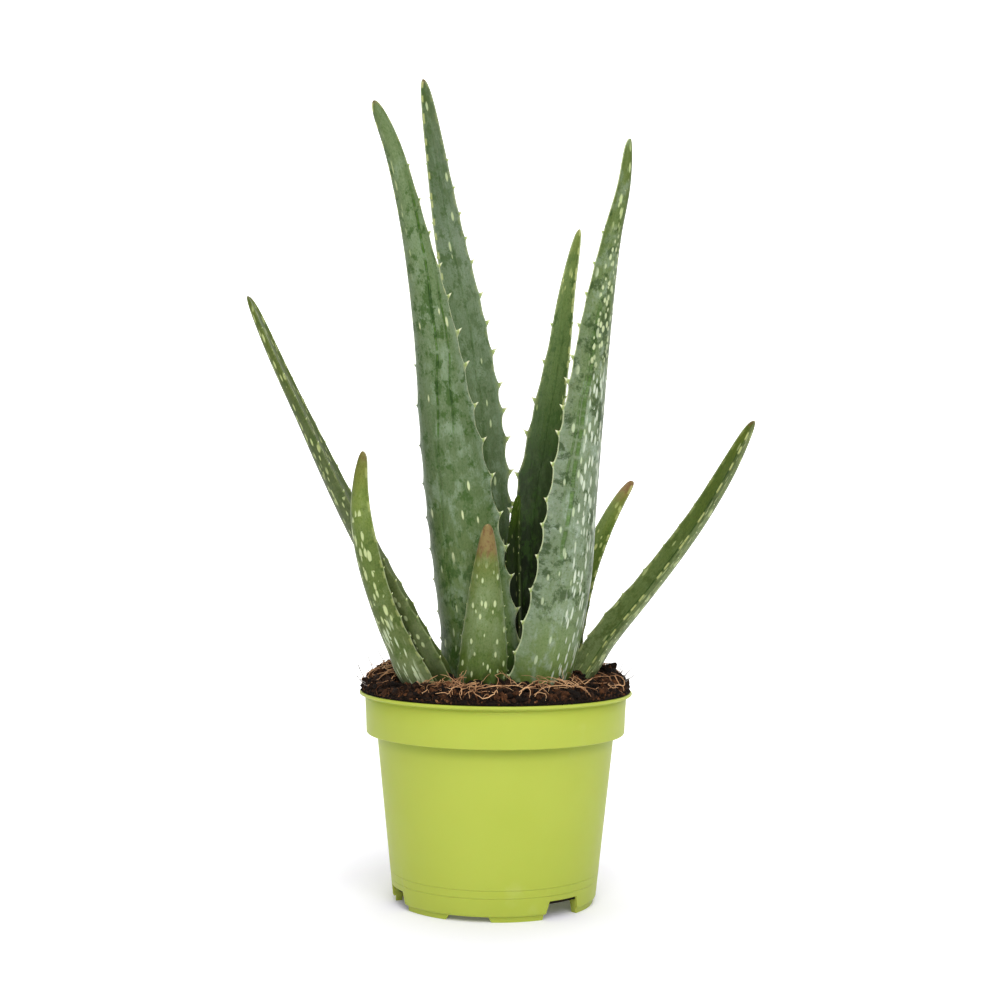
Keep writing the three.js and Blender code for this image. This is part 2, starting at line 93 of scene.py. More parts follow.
# The form of each leaf.
# stations: [x, y, z, half width] from just under the soil to the tip.
# face: heading of the inner side at base and tip, degrees from +X towards +Y.
# channel: depth of the inner side's groove, as a share of the half width.
# plump: thickness at base and tip, as a share of the half width.
# seat: where the leaf leaves the stem, (distance from the stem's axis, height).
# teeth: size and heights for the left and the right margin, seen when facing the inner side.
# web: how far the scallops between the teeth are filled, from 0 to 1.
LEAF_DEFAULTS = {"channel": 0.3, "web": 0.0, "slot": "leaf_grey_green"}
LEAVES = {
    "leaf_heart": {
        "stations": [(8.4, 4, 95, 6.5), (8.6, 4, 117, 6.4), (8.7, 4, 138, 5.4), (8.4, 4.5, 156, 4.2),
                     (8.8, 5, 168, 3.1), (9.6, 5, 178.3, 1.8)],
        "face": (215, 215), "plump": (0.6, 0.7), "seat": (2, 82.5),
        "teeth": [(0.8, every(8, 108, 168)), (0.8, every(8, 112, 168))],
        "slot": "leaf_dark_green",
    },
    "leaf_inner_right": {
        "stations": [(14, 12, 95, 12.5), (16.5, 16, 136, 12), (19, 21, 176, 10.2), (23.8, 26, 214, 7.6),
                     (28.2, 30, 242, 5.8), (32, 33, 272, 4), (37, 36, 301, 2.1)],
        "face": (250, 245), "plump": (0.48, 0.75), "seat": (6, 76),
        "teeth": [(2.5, [*every(17, 120, 156), 171, 187, 206, 221, 239, 256]), (1.6, every(16, 128, 270))],
        "slot": "leaf_dark_green",
    },
    "leaf_tall_back": {
        "stations": [(-9, 21, 95, 16), (-9.2, 22, 137, 15.4), (-9.2, 24, 178, 13.8),
                     (-11.2, 26, 217, 11.8), (-16.6, 28, 258, 9.3), (-24.1, 30, 296, 7.3),
                     (-30, 32, 332, 5.1), (-35.7, 34, 369, 2.9)],
        "face": (295, 295), "channel": 0.28, "plump": (0.46, 0.75), "seat": (6, 75),
        "teeth": [(1.6, every(14, 118, 340)),
                  (2.6, [*every(14, 118, 162), 174, 188, 203, 216, 228, 243, 256, 269, 284, 295, 306,
                         318, 331])],
    },
    "leaf_tall_left": {
        "stations": [(-8, -12, 94, 17), (-8.6, -13.5, 117, 17.1), (-11.8, -15.5, 140, 16.4),
                     (-17.2, -19, 176, 15), (-22.9, -23, 212, 12.1), (-27.7, -27, 247, 9.1),
                     (-35.6, -31, 287, 5.8), (-44.2, -35, 321, 4), (-53, -38, 343.5, 3)],
        "face": (78, 85), "plump": (0.44, 0.75), "seat": (6, 75),
        "teeth": [(2.7, [114, 128, 142, 155, 169, 186, 201, 216, 233, 247, 262, 275, 289, 303, 317]),
                  (1.2, [115, 127, 141, 154, 168, 183, 199, 216, 233])],
    },
    "leaf_tall_right": {
        "stations": [(20, -20, 93, 13.5), (30.7, -23, 136, 13.5), (35, -26, 177, 11.3),
                     (38.9, -29.5, 216, 9.3), (42.9, -33, 252, 7.2), (47.8, -36, 285, 4.6),
                     (52.6, -38.5, 308, 3.1), (54.4, -40, 328, 2)],
        "face": (122, 118), "plump": (0.5, 0.75), "seat": (6, 75), "web": 1.0,
        "teeth": [(1.6, every(14, 116, 300)),
                  (2.6, [100, 110, 123, 137, 152, 165, 176, 191, 204, 215, 226, 236, 250, 263, 276, 289])],
    },
    "leaf_long_left": {
        "stations": [(-20.3, -21, 95, 8.8), (-40.4, -17.5, 128, 9.4), (-57, -12, 156, 9), (-71, -8, 182, 7.6),
                     (-85.2, -4, 210.5, 5.8), (-98.8, 0, 238, 4.7), (-111.2, 3, 265.5, 3.3)],
        "face": (0, -15), "channel": 0.35, "plump": (0.66, 0.8), "seat": (6, 66),
        "teeth": [(1.3, [109, 117, 126, 133, 141, 150, *every(10, 160, 250)]), (1.1, every(10, 110, 250))],
    },
    "leaf_long_right": {
        "stations": [(34, -6, 94, 7.8), (49.3, -9, 117, 7.5), (65, -12, 137, 6.7), (77.6, -15, 154, 6.3),
                     (89, -18, 171, 5.8), (99.8, -21, 190, 5.1), (109.8, -24, 211, 3)],
        "face": (207, 205), "channel": 0.35, "plump": (0.62, 0.7), "seat": (6, 64),
        "teeth": [(0.8, every(10, 116, 195)), (1.2, [102, 107, 112, 117, 123, 133, 142, 152, 163, 175, 188])],
    },
    "leaf_short_front": {
        "stations": [(-5.4, -26, 93, 10.1), (-5.2, -28, 111, 10.1), (-4.8, -30, 127, 8.4),
                     (-4.5, -32.5, 143, 6.2), (-4.1, -34.5, 155, 4.2), (-3.8, -36, 166.3, 2.1)],
        "face": (92, 90), "channel": 0.25, "plump": (0.5, 0.7), "seat": (6, 66),
        "teeth": [(0.8, [103, 109, 115, 121, 126, 131, 137]), (0.6, every(7, 104, 140))],
        "slot": "leaf_olive_green",
    },
    "leaf_short_left": {
        "stations": [(-33, -23, 95, 7.9), (-43, -25, 114, 7), (-50.5, -27.5, 133, 6.3),
                     (-55.6, -30, 151, 6.2), (-58.6, -32, 169, 5.3),
                     (-58.4, -34, 184, 3.7), (-56.6, -36, 196.6, 2.2)],
        "face": (48, 60), "channel": 0.25, "plump": (0.6, 0.7), "seat": (6, 58),
        "teeth": [(0.9, [108, 118, 126, 136, 147, 158]), (0.5, every(11, 110, 170))],
    },
    "leaf_short_right": {
        "stations": [(30, 17, 95, 6.2), (35, 19, 118, 5.8), (40.5, 22, 141, 5.1), (48, 26.5, 160, 4.1),
                     (55.5, 31, 174.5, 3.1), (62.3, 34.5, 185, 2)],
        "face": (250, 245), "channel": 0.25, "plump": (0.55, 0.7), "seat": (6, 66),
        "teeth": [(0.6, every(8, 108, 172)), (0.6, every(8, 112, 172))],
        "slot": "leaf_olive_green",
    },
}

# The looks of each leaf. Tones are screen colours from 0 to 255, heights are in millimetres and
# places across run from -1 at the left margin to 1 at the right one.
# tones: the skin from the soil to the tip, each a height with its red, green and blue; the darkest tones,
# near the soil and on the heart and inner leaves, are painted shade where the leaves shade one another.
# inner: the share of red, green and blue that the inner side keeps, if not all.
# patch: darker green patches (tone, share, from height, to height).
# bloom: the grey bloom (tone, width along the margins in mm, share left, right and in clouds).
# margins: how strongly the pale line shows on the left and the right margin.
# chains: the same for the row of pale dashes beside the margin.
# spots: (tone, cell across mm, cell along mm, size, share, heights, across range, strength, clumping,
#         the share of them that the inner side shows).
# creases: dark lines of painted crease shade, each over a bump groove (across and height at one end, across
# and height at the other, width in mm, share).
# strip: the paler strip to the right of a seam (tone, place of the seam across, share).
# tip: the dry tip (from height, to height, tone).
LOOK_DEFAULTS = {
    "inner": None, "margins": (0, 0), "chains": (0, 0), "creases": [], "strip": None, "tip": None}
LOOKS = {
    "leaf_heart": {
        "tones": [(95, 12, 20, 0), (140, 20, 36, 1), (160, 40, 60, 2), (178, 68, 92, 8)],
        "patch": ((16, 30, 2), 0.5, 90, 180),
        "bloom": ((82, 104, 36), 2.4, 0.1, 0.6, 0.1),
        "spots": [((140, 148, 96), 2.4, 6.0, 0.16, 0.3, (95, 180), (-1, 1), 0.6, 0.0, 1.0)],
    },
    "leaf_inner_right": {
        "tones": [(95, 14, 24, 2), (150, 22, 36, 6), (190, 44, 62, 24), (212, 66, 88, 40),
                  (235, 84, 105, 52), (253, 86, 108, 54), (272, 97, 117, 59), (287, 100, 119, 56),
                  (299, 107, 122, 54)],
        "patch": ((52, 80, 24), 0.7, 90, 290),
        "bloom": ((108, 128, 86), 1.6, 0.1, 0.3, 0.2), "margins": (0.4, 0.8), "chains": (0.1, 0.6),
        "spots": [((180, 190, 118), 1.6, 5.5, 0.28, 0.8, (272, 282), (-1, 1), 0.9, 0.0, 1.0),
                  ((150, 168, 104), 4.0, 16.0, 0.08, 0.2, (190, 290), (-1, 1), 0.7, 0.0, 1.0)],
        "creases": [(-0.2, 140, 0.1, 250, 1.0, 0.4)], "tip": (298, 304, (130, 110, 66)),
    },
    "leaf_tall_back": {
        "tones": [(95, 26, 36, 14), (150, 52, 66, 36), (176, 70, 88, 50), (222, 88, 106, 71),
                  (245, 93, 111, 79), (268, 96, 114, 82), (295, 102, 118, 92), (313, 88, 105, 76),
                  (332, 82, 99, 68), (350, 77, 94, 55), (362, 64, 84, 36)],
        "patch": ((66, 88, 44), 0.8, 90, 375),
        "bloom": ((130, 148, 122), 4.0, 0.4, 0.3, 0.5), "margins": (0.4, 0.3), "chains": (0.55, 0.1),
        "spots": [((176, 190, 142), 4.2, 16.0, 0.1, 0.28, (150, 362), (-1, 1), 0.85, 0.0, 1.0)],
        "creases": [(0.35, 150, 0.1, 330, 1.2, 0.3)], "tip": (365, 369, (94, 80, 48)),
    },
    "leaf_tall_left": {
        "tones": [(95, 40, 54, 16), (112, 88, 108, 58), (128, 98, 118, 70), (150, 87, 106, 58),
                  (176, 86, 105, 64), (202, 88, 106, 70), (228, 96, 114, 78), (254, 101, 119, 83),
                  (280, 101, 120, 80), (306, 101, 119, 79), (328, 99, 117, 74), (343, 90, 108, 60)],
        "inner": (0.86, 0.92, 0.84), "patch": ((56, 84, 28), 0.92, 95, 330),
        "bloom": ((136, 153, 128), 6.0, 0.8, 0.8, 0.6), "margins": (0.9, 0.15), "chains": (0.25, 0.9),
        "spots": [((200, 209, 160), 4.6, 19.0, 0.1, 0.35, (150, 345), (-1, 1), 0.9, 0.0, 0.6),
                  ((184, 196, 140), 1.4, 6.5, 0.25, 0.75, (262, 338), (0.5, 0.62), 0.85, 0.0, 0.3),
                  ((176, 190, 142), 2.4, 11.0, 0.15, 0.42, (108, 152), (-0.8, 0.9), 0.85, 0.5, 0.4)],
        "creases": [(0.26, 200, -0.66, 309, 1.2, 1.0), (-0.3, 205, -0.78, 268, 0.9, 0.9),
                    (0.5, 130, 0.34, 215, 1.4, 0.3)],
        "tip": (340, 345, (108, 94, 54)),
    },
    "leaf_tall_right": {
        "tones": [(95, 86, 106, 36), (108, 106, 126, 68), (129, 116, 133, 98), (151, 111, 127, 97),
                  (176, 113, 128, 101), (201, 115, 130, 100), (227, 106, 122, 84), (248, 101, 118, 77),
                  (269, 97, 115, 66), (290, 89, 107, 54), (307, 86, 103, 46), (326, 90, 106, 47)],
        "inner": (0.86, 0.92, 0.84), "patch": ((45, 67, 22), 0.8, 122, 310),
        "bloom": ((154, 168, 152), 7.0, 0.95, 0.35, 0.7), "margins": (0.2, 0.95), "chains": (0.2, 0.0),
        "spots": [((200, 210, 188), 1.6, 8.0, 0.26, 0.85, (98, 160), (-1, 0.25), 0.95, 0.3, 0.3),
                  ((196, 207, 184), 1.6, 6.5, 0.28, 0.88, (160, 232), (-1, 0.3), 0.95, 0.25, 0.3),
                  ((184, 196, 150), 1.7, 3.7, 0.28, 0.85, (232, 290), (-1, 0.5), 0.95, 0.35, 0.3),
                  ((176, 190, 132), 1.6, 6.0, 0.29, 0.8, (290, 326), (-1, 0.6), 0.9, 0.4, 0.3),
                  ((186, 200, 160), 2.6, 10.0, 0.16, 0.3, (98, 330), (0.2, 0.9), 0.8, 0.3, 0.3)],
        "creases": [(0.6, 150, 0.35, 262, 1.9, 0.8), (0.75, 180, 0.5, 250, 1.0, 0.6)],
    },
    "leaf_long_left": {
        "tones": [(95, 60, 71, 36), (115, 79, 91, 50), (141, 87, 98, 56), (167, 79, 90, 51),
                  (198, 72, 85, 43), (220, 77, 90, 38), (242, 83, 97, 32), (262, 88, 101, 28)],
        "inner": (0.88, 0.92, 0.72), "patch": ((66, 84, 30), 0.75, 90, 270),
        "bloom": ((106, 120, 68), 2.0, 0.3, 0.3, 0.35), "margins": (0.1, 0.1),
        "spots": [((180, 191, 124), 1.2, 7.5, 0.2, 0.8, (186, 262), (-1, 1), 0.95, 0.2, 0.8),
                  ((178, 190, 130), 1.2, 7.0, 0.21, 0.85, (146, 190), (-1, 1), 0.95, 0.2, 0.05),
                  ((168, 180, 130), 1.8, 5.0, 0.2, 0.4, (98, 150), (-1, 1), 0.8, 0.3, 0.0)],
        "tip": (263, 268, (112, 96, 58)),
    },
    "leaf_long_right": {
        "tones": [(94, 138, 148, 112), (106, 132, 143, 104), (116, 114, 125, 88), (133, 102, 115, 72),
                  (150, 96, 110, 60), (167, 88, 103, 46), (193, 85, 100, 36), (207, 98, 108, 34)],
        "inner": (0.74, 0.8, 0.6), "patch": ((66, 82, 28), 0.7, 100, 210),
        "bloom": ((112, 128, 84), 2.0, 0.1, 0.3, 0.2), "margins": (0.25, 0.1), "chains": (0.15, 0.0),
        "strip": ((112, 127, 76), 0.3, 0.8),
        "spots": [((176, 188, 132), 1.5, 6.5, 0.27, 0.75, (94, 206), (0.45, 1), 0.92, 0.15, 1.0),
                  ((160, 172, 112), 1.8, 7.0, 0.22, 0.12, (94, 206), (-1, 0.2), 0.7, 0.2, 1.0)],
        "creases": [(0.2, 100, 0.2, 200, 1.3, 0.75)], "tip": (208, 212, (112, 100, 60)),
    },
    "leaf_short_front": {
        "tones": [(94, 42, 56, 4), (102, 62, 78, 20), (110, 90, 108, 52), (121, 108, 125, 76),
                  (134, 110, 126, 78), (144, 98, 113, 54), (155, 104, 110, 46), (163, 116, 100, 56)],
        "patch": ((80, 102, 36), 0.7, 90, 160),
        "bloom": ((138, 154, 116), 3.0, 0.3, 0.3, 0.5), "margins": (0.25, 0.2), "chains": (0.0, 0.2),
        "spots": [((194, 206, 154), 3.5, 9.0, 0.13, 0.92, (98, 148), (-0.95, 0.95), 0.9, 0.0, 0.3)],
        "tip": (150, 157, (128, 110, 66)),
    },
    "leaf_short_left": {
        "tones": [(95, 116, 128, 92), (108, 94, 107, 60), (125, 84, 98, 46), (142, 87, 104, 44),
                  (159, 94, 112, 48), (176, 110, 127, 54), (187, 107, 113, 43), (196, 101, 105, 40)],
        "inner": (0.62, 0.7, 0.56), "patch": ((68, 88, 26), 0.7, 95, 180),
        "bloom": ((128, 142, 108), 1.2, 0.2, 0.2, 0.3), "margins": (0.4, 0.3), "chains": (0.3, 0.0),
        "spots": [((184, 195, 138), 1.7, 6.5, 0.28, 0.9, (120, 176), (-0.75, 1), 0.95, 0.75, 0.0),
                  ((186, 199, 160), 1.2, 9.5, 0.28, 0.95, (92, 124), (-0.75, 1), 0.92, 0.2, 0.0)],
        "tip": (191, 198, (118, 96, 56)),
    },
    "leaf_short_right": {
        "tones": [(95, 54, 68, 20), (158, 88, 108, 40), (167, 100, 117, 44), (176, 112, 118, 46),
                  (185, 122, 118, 50)],
        "patch": ((74, 96, 30), 0.6, 95, 175),
        "bloom": ((124, 138, 80), 1.2, 0.2, 0.2, 0.2), "margins": (0.2, 0.3), "chains": (0.0, 0.5),
        "spots": [((172, 182, 108), 2.6, 6.5, 0.18, 0.4, (95, 176), (-1, 1), 0.85, 0.0, 1.0)],
        "tip": (175, 184, (132, 106, 60)),
    },
}


# --- Settings a user would change ---


class AloePotSettings(bpy.types.PropertyGroup):
    height: bpy.props.FloatProperty(
        name="Height", description="Height of the pot", default=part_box("pot")[1].z, unit="LENGTH")
    rim_radius: bpy.props.FloatProperty(
        name="Rim radius", description="Outer radius of the lip", default=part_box("pot")[1].x, unit="LENGTH")
    rounding: bpy.props.FloatProperty(
        name="Rounding", description="Width of the rounding on moulded edges", default=0.00025, unit="LENGTH")
    segments: bpy.props.IntProperty(
        name="Segments", description="Points round the pot", default=192, min=48)
    colour: bpy.props.FloatVectorProperty(
        name="Colour", description="Colour of the plastic", subtype="COLOR_GAMMA",
        default=(0.678, 0.727, 0.285), min=0, max=1)


class AloeSoilSettings(bpy.types.PropertyGroup):
    crumbs: bpy.props.IntProperty(name="Crumbs", description="Loose crumbs on the soil", default=9400, min=0)
    crumb_size: bpy.props.FloatProperty(
        name="Crumb size", description="Middle radius of a crumb", default=0.0008, unit="LENGTH")
    fibres: bpy.props.IntProperty(name="Fibres", description="Coir fibres on the soil", default=210, min=0)
    fibre_radius: bpy.props.FloatProperty(
        name="Fibre radius", description="Radius of a coir fibre", default=0.0002, unit="LENGTH")
    dark: bpy.props.FloatVectorProperty(
        name="Dark tone", description="Darkest tone of the peat", subtype="COLOR_GAMMA",
        default=(0.13, 0.075, 0.035), min=0, max=1)
    light: bpy.props.FloatVectorProperty(
        name="Light tone", description="Lighter reddish tone of the peat", subtype="COLOR_GAMMA",
        default=(0.4, 0.25, 0.14), min=0, max=1)
    fibre: bpy.props.FloatVectorProperty(
        name="Fibre tone", description="Colour of the coir fibres", subtype="COLOR_GAMMA",
        default=(0.86, 0.68, 0.5), min=0, max=1)


class AloeLeafSettings(bpy.types.PropertyGroup):
    columns: bpy.props.IntProperty(name="Columns", description="Points round a leaf", default=56, min=16)
    row_step: bpy.props.FloatProperty(
        name="Row step", description="Distance between rows on a plain stretch", default=0.0016,
        unit="LENGTH")
    tooth_step: bpy.props.FloatProperty(
        name="Tooth row step", description="Distance between rows at a tooth", default=0.00028, unit="LENGTH")
    skin: bpy.props.FloatVectorProperty(
        name="Skin tint", description="Tint over every leaf's own greens", subtype="COLOR",
        default=(1.0, 1.0, 1.0), min=0, max=2)
    tooth: bpy.props.FloatVectorProperty(
        name="Teeth", description="Colour of the teeth", subtype="COLOR_GAMMA",
        default=(0.86, 0.88, 0.72), min=0, max=1)
    roughness: bpy.props.FloatProperty(
        name="Roughness", description="Roughness of the leaf skin", default=0.46, min=0, max=1,
        subtype="FACTOR")


class AloeStageSettings(bpy.types.PropertyGroup):
    camera_distance: bpy.props.FloatProperty(
        name="Camera distance", description="From the pot's axis to the camera", default=0.78, unit="LENGTH")
    camera_height: bpy.props.FloatProperty(
        name="Camera height", description="Height of the camera", default=0.18305, unit="LENGTH")
    lens: bpy.props.FloatProperty(
        name="Lens", description="Focal length on a 36 mm sensor", default=63.673, unit="CAMERA")
    floor: bpy.props.FloatVectorProperty(
        name="Floor", description="Colour of the floor and backdrop", subtype="COLOR",
        default=(0.92, 0.92, 0.92), min=0, max=1)
    light: bpy.props.FloatProperty(
        name="Light", description="Strength of the studio light", default=1.0, min=0)


# --- Small helpers ---


def tone(colour):
    """A screen colour, 0 to 255, as the light it stands for."""
    parts = [c / 255 for c in colour]
    return (*[c / 12.92 if c <= 0.04045 else ((c + 0.055) / 1.055) ** 2.4 for c in parts], 1.0)


def picked(colour):
    """A colour property, shown as on screen, as the light it stands for."""
    return tone([c * 255 for c in colour])


def mix(a, b, share):
    return a + (b - a) * share


def deselect_all():
    if bpy.context.object and bpy.context.object.mode != "OBJECT":
        bpy.ops.object.mode_set(mode="OBJECT")
    bpy.ops.object.select_all(action="DESELECT")


def make_active(piece):
    deselect_all()
    piece.select_set(True)
    bpy.context.view_layer.objects.active = piece


def select_only(mesh, kind, chosen):
    """Enters edit mode with only the chosen vertices or edges of the active mesh selected."""
    bpy.ops.object.mode_set(mode="EDIT")
    bpy.ops.mesh.select_all(action="DESELECT")
    bpy.ops.object.mode_set(mode="OBJECT")
    for part in getattr(mesh, kind):
        part.select = chosen(part)
    bpy.ops.object.mode_set(mode="EDIT")


def apply_place(piece):
    make_active(piece)
    bpy.ops.object.transform_apply(location=True, rotation=True, scale=True)


def apply_modifiers(piece):
    make_active(piece)
    for modifier in list(piece.modifiers):
        bpy.ops.object.modifier_apply(modifier=modifier.name)


def face_out(piece):
    """Turns a closed skin's faces outwards where it came out inside out."""
    mesh = piece.data
    corners = np.zeros(len(mesh.vertices) * 3)
    mesh.vertices.foreach_get("co", corners)
    corners = corners.reshape(-1, 3)
    mesh.calc_loop_triangles()
    triangles = np.zeros(len(mesh.loop_triangles) * 3, dtype=np.int64)
    mesh.loop_triangles.foreach_get("vertices", triangles)
    a, b, c = (corners[triangles.reshape(-1, 3)[:, k]] for k in range(3))
    if np.einsum("ij,ij->i", a, np.cross(b, c)).sum() < 0:
        mesh.flip_normals()


def finish_piece(piece, slot, material, nodes=()):
    """Gives a piece its material and its place in the assembly."""
    piece.data.materials.clear()
    piece.data.materials.append(material)
    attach(piece, "root")
    for node in nodes:
        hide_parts(node)


class Paint:
    """A material's nodes, added one after the other."""

    def __init__(self, name):
        self.material = bpy.data.materials.new(name)
        self.material.use_nodes = True
        self.tree = self.material.node_tree
        self.surface = self.tree.nodes["Principled BSDF"]

    def node(self, kind, inputs=(), **settings):
        made = self.tree.nodes.new(kind)
        for key, value in settings.items():
            setattr(made, key, value)
        for place, value in dict(inputs).items():
            self.put(made.inputs[place], value)
        return made

    def put(self, socket, value):
        if isinstance(value, bpy.types.NodeSocket):
            self.tree.links.new(value, socket)
        else:
            socket.default_value = value

    def place(self):
        """Places on the piece, in metres."""
        return self.node("ShaderNodeTexCoord").outputs["Object"]

    def math(self, operation, *values):
        return self.node("ShaderNodeMath", enumerate(values), operation=operation).outputs[0]

    def scaled(self, value, factor, offset):
        return self.math("MULTIPLY_ADD", value, factor, offset)

    def vector(self, operation, a, b):
        return self.node("ShaderNodeVectorMath", {0: a, 1: b}, operation=operation).outputs[0]

    def chain(self, operation, result, *values):
        for value in values:
            result = self.math(operation, result, value)
        return result

    def product(self, *values):
        return self.chain("MULTIPLY", *values)

    def largest(self, *values):
        return self.chain("MAXIMUM", *values)

    def step(self, value, start, end):
        """Rises smoothly from 0 at start to 1 at end, or falls where end is below start."""
        ends = {1: start, 2: end} if end > start else {1: end, 2: start, 3: 1.0, 4: 0.0}
        return self.node(
            "ShaderNodeMapRange", {0: value, **ends}, interpolation_type="SMOOTHSTEP").outputs[0]

    def window(self, value, low, high, outside, inside):
        """1 from low to high and 0 beyond them, with soft ends that reach outside and inside."""
        return self.product(self.step(value, low - outside, low + inside),
                            self.step(value, high + outside, high - inside))

    def split(self, vector):
        return self.node("ShaderNodeSeparateXYZ", {0: vector}).outputs

    def attribute(self, name):
        return self.node("ShaderNodeAttribute", attribute_name=name)

    def noise(self, vector, scale, detail=3.0, roughness=0.5):
        made = self.node("ShaderNodeTexNoise", {
            "Vector": vector, "Scale": scale, "Detail": detail, "Roughness": roughness})
        return made.outputs["Fac"]

    def cells(self, place, scale=1.0, dimensions="3D"):
        """Cells of irregular shape. With one dimension, the place is a single number."""
        key = "W" if dimensions == "1D" else "Vector"
        return self.node("ShaderNodeTexVoronoi", {key: place, "Scale": scale}, voronoi_dimensions=dimensions)

    def mixed(self, share, a, b, blend="MIX"):
        made = self.node("ShaderNodeMix", data_type="RGBA", blend_type=blend)
        for place, value in ((0, share), (6, a), (7, b)):
            self.put(made.inputs[place], value)
        return made.outputs[2]

    def shaded(self, share, colour, kept):
        """The colour with a share of its own shade over it, which keeps so much red, green and blue."""
        return self.mixed(share, colour, self.mixed(1.0, colour, (*kept, 1), "MULTIPLY"))

    def ramp(self, share, stops):
        made = self.node("ShaderNodeValToRGB", {0: share})
        elements = made.color_ramp.elements
        while len(elements) < len(stops):
            elements.new(0.5)
        for element, (place, colour) in zip(elements, stops):
            element.position = place
            element.color = colour
        return made.outputs[0]

    def bump(self, height, distance, strength=1.0, before=None):
        made = self.node("ShaderNodeBump", {"Height": height, "Distance": distance, "Strength": strength})
        if before is not None:
            self.put(made.inputs["Normal"], before)
        return made.outputs[0]

    def done(self, colour, normal=None, **values):
        self.put(self.surface.inputs["Base Color"], colour)
        if normal is not None:
            self.put(self.surface.inputs["Normal"], normal)
        for name, value in values.items():
            self.put(self.surface.inputs[name.replace("_", " ")], value)
        return self.material


# --- Pot ---


def wall_radius(z):
    """Outer radius of the tapered wall, between the foot ring and the band."""
    (low_radius, low), (high_radius, high) = (0.0447, 0.0024), (0.0522, 0.074)
    return mix(low_radius, high_radius, (z - low) / (high - low))


def pot_profile(pot):
    """Radius and height from the underside, up the outside, over the lip and down the inside."""
    rim, top, roll, wall, floor, ledge = pot.rim_radius, pot.height, 0.0007, 0.0012, 0.0062, 0.0752
    lip = [(rim - roll + roll * math.sin(a), top - roll - roll * math.cos(a))
           for a in np.linspace(0, math.pi, 9)]
    fold = [(0.0562 + 0.0006 * math.sin(a), 0.0748 - 0.0008 * math.cos(a)) for a in np.linspace(0, 1.4, 5)]
    return [
        (0.0406, 0.005), (0.0406, 0.0), (0.0434, 0.0), (0.0434, 0.0024), (0.0442, 0.0024),
        (0.0446, 0.0027), (0.0448, 0.0033), (wall_radius(0.02), 0.02), (wall_radius(0.038), 0.038),
        (wall_radius(0.056), 0.056), (0.0521, 0.0733), (0.0524, 0.0739), (0.0552, 0.074), *fold,
        (0.0571, 0.082), (0.0575, 0.0893), (0.0572, 0.0898), (0.0571, 0.0903), (0.0572, 0.0907),
        (0.05728, 0.09078), (0.0575, 0.09088), (0.058, 0.0909), *lip,
        (0.0566, top), (0.0564, top - 0.0003), (0.0556, 0.076), (0.0548, ledge),
        (wall_radius(ledge) - wall, ledge), (wall_radius(floor) - wall, floor), (0.02, floor),
    ]


def turned_body(name, profile, segments):
    """A closed body drawn up from a disc through the rings of a profile."""
    deselect_all()
    radius, z = profile[0]
    bpy.ops.mesh.primitive_circle_add(vertices=segments, radius=radius, fill_type="NGON", location=(0, 0, z))
    piece = bpy.context.object
    piece.name = name
    apply_place(piece)
    bpy.ops.object.mode_set(mode="EDIT")
    bpy.ops.mesh.select_mode(type="FACE")
    bpy.ops.mesh.select_all(action="SELECT")
    for next_radius, next_z in profile[1:]:
        bpy.ops.mesh.extrude_region_move(TRANSFORM_OT_translate={"value": (0, 0, next_z - z)})
        scale = next_radius / radius
        bpy.ops.transform.resize(value=(scale, scale, 1), center_override=(0, 0, next_z))
        radius, z = next_radius, next_z
    bpy.ops.mesh.select_all(action="SELECT")
    bpy.ops.mesh.normals_make_consistent(inside=False)
    bpy.ops.object.mode_set(mode="OBJECT")
    face_out(piece)
    return piece


def foot_wedge(angle, top, top_width, bottom_width):
    """A wedge across the foot ring, wider at the floor; the angle is from the front towards +X."""
    start, depth, below = 0.033, 0.016, 0.001
    slope = (bottom_width - top_width) / 2 / top
    low = bottom_width / 2 + slope * below
    deselect_all()
    bpy.ops.mesh.primitive_cube_add(size=1)
    wedge = bpy.context.object
    wedge.scale = (depth, top_width, top + below)
    bpy.ops.object.transform_apply(location=False, rotation=False, scale=True)
    select_only(wedge.data, "vertices", lambda vertex: vertex.co.z < 0)
    bpy.ops.transform.resize(value=(1, 2 * low / top_width, 1))
    bpy.ops.object.mode_set(mode="OBJECT")
    turn = Matrix.Rotation(math.radians(angle - 90), 4, "Z")
    wedge.matrix_world = turn @ Matrix.Translation((start + depth / 2, 0, (top - below) / 2))
    apply_place(wedge)
    return wedge


def cut(piece, cutters):
    """Cuts each cutter out of the piece and removes it."""
    for cutter in cutters:
        modifier = piece.modifiers.new("cut", "BOOLEAN")
        modifier.operation, modifier.solver, modifier.object = "DIFFERENCE", "EXACT", cutter
    apply_modifiers(piece)
    for cutter in cutters:
        bpy.data.objects.remove(cutter)


def pot_plastic(pot):
    """Lime plastic with a cloudy tint, a little dust, shade under the band and two fine rings."""
    paint = Paint("lime nursery pot plastic")
    place = paint.place()
    height = paint.split(place)[2]
    cloud = paint.noise(place, 18.0, 4.0)
    grain_fine = paint.noise(place, 900.0, 2.0)
    colour = paint.mixed(paint.step(cloud, 0.35, 0.7), picked(pot.colour),
                         picked([c * k for c, k in zip(pot.colour, (0.975, 0.98, 0.93))]))
    dusty = paint.step(paint.noise(place, 60.0, 5.0), 0.62, 0.8)
    colour = paint.mixed(paint.product(dusty, 0.12), colour, tone((206, 212, 150)))
    # Painted shade: the wall is darkened just under the band's lower edge, where the band's shadow falls.
    below = paint.product(paint.step(height, 0.0675, 0.0737), paint.step(height, 0.0742, 0.0739), 0.9)
    colour = paint.shaded(below, colour, (0.72, 0.76, 0.6))
    rings = paint.largest(*[paint.window(height, z, z, 0.0003, 0.0) for z in (0.0104, 0.0138)])
    normal = paint.bump(rings, 0.00018, 1.0)
    normal = paint.bump(grain_fine, 0.00002, 0.25, normal)
    normal = paint.bump(cloud, 0.0006, 0.25, normal)
    roughness = paint.scaled(paint.noise(place, 140.0, 3.0), 0.12, 0.4)
    return paint.done(colour, normal, Roughness=roughness, Subsurface_Weight=0.1, Subsurface_Scale=0.0015,
                      Specular_IOR_Level=0.2)


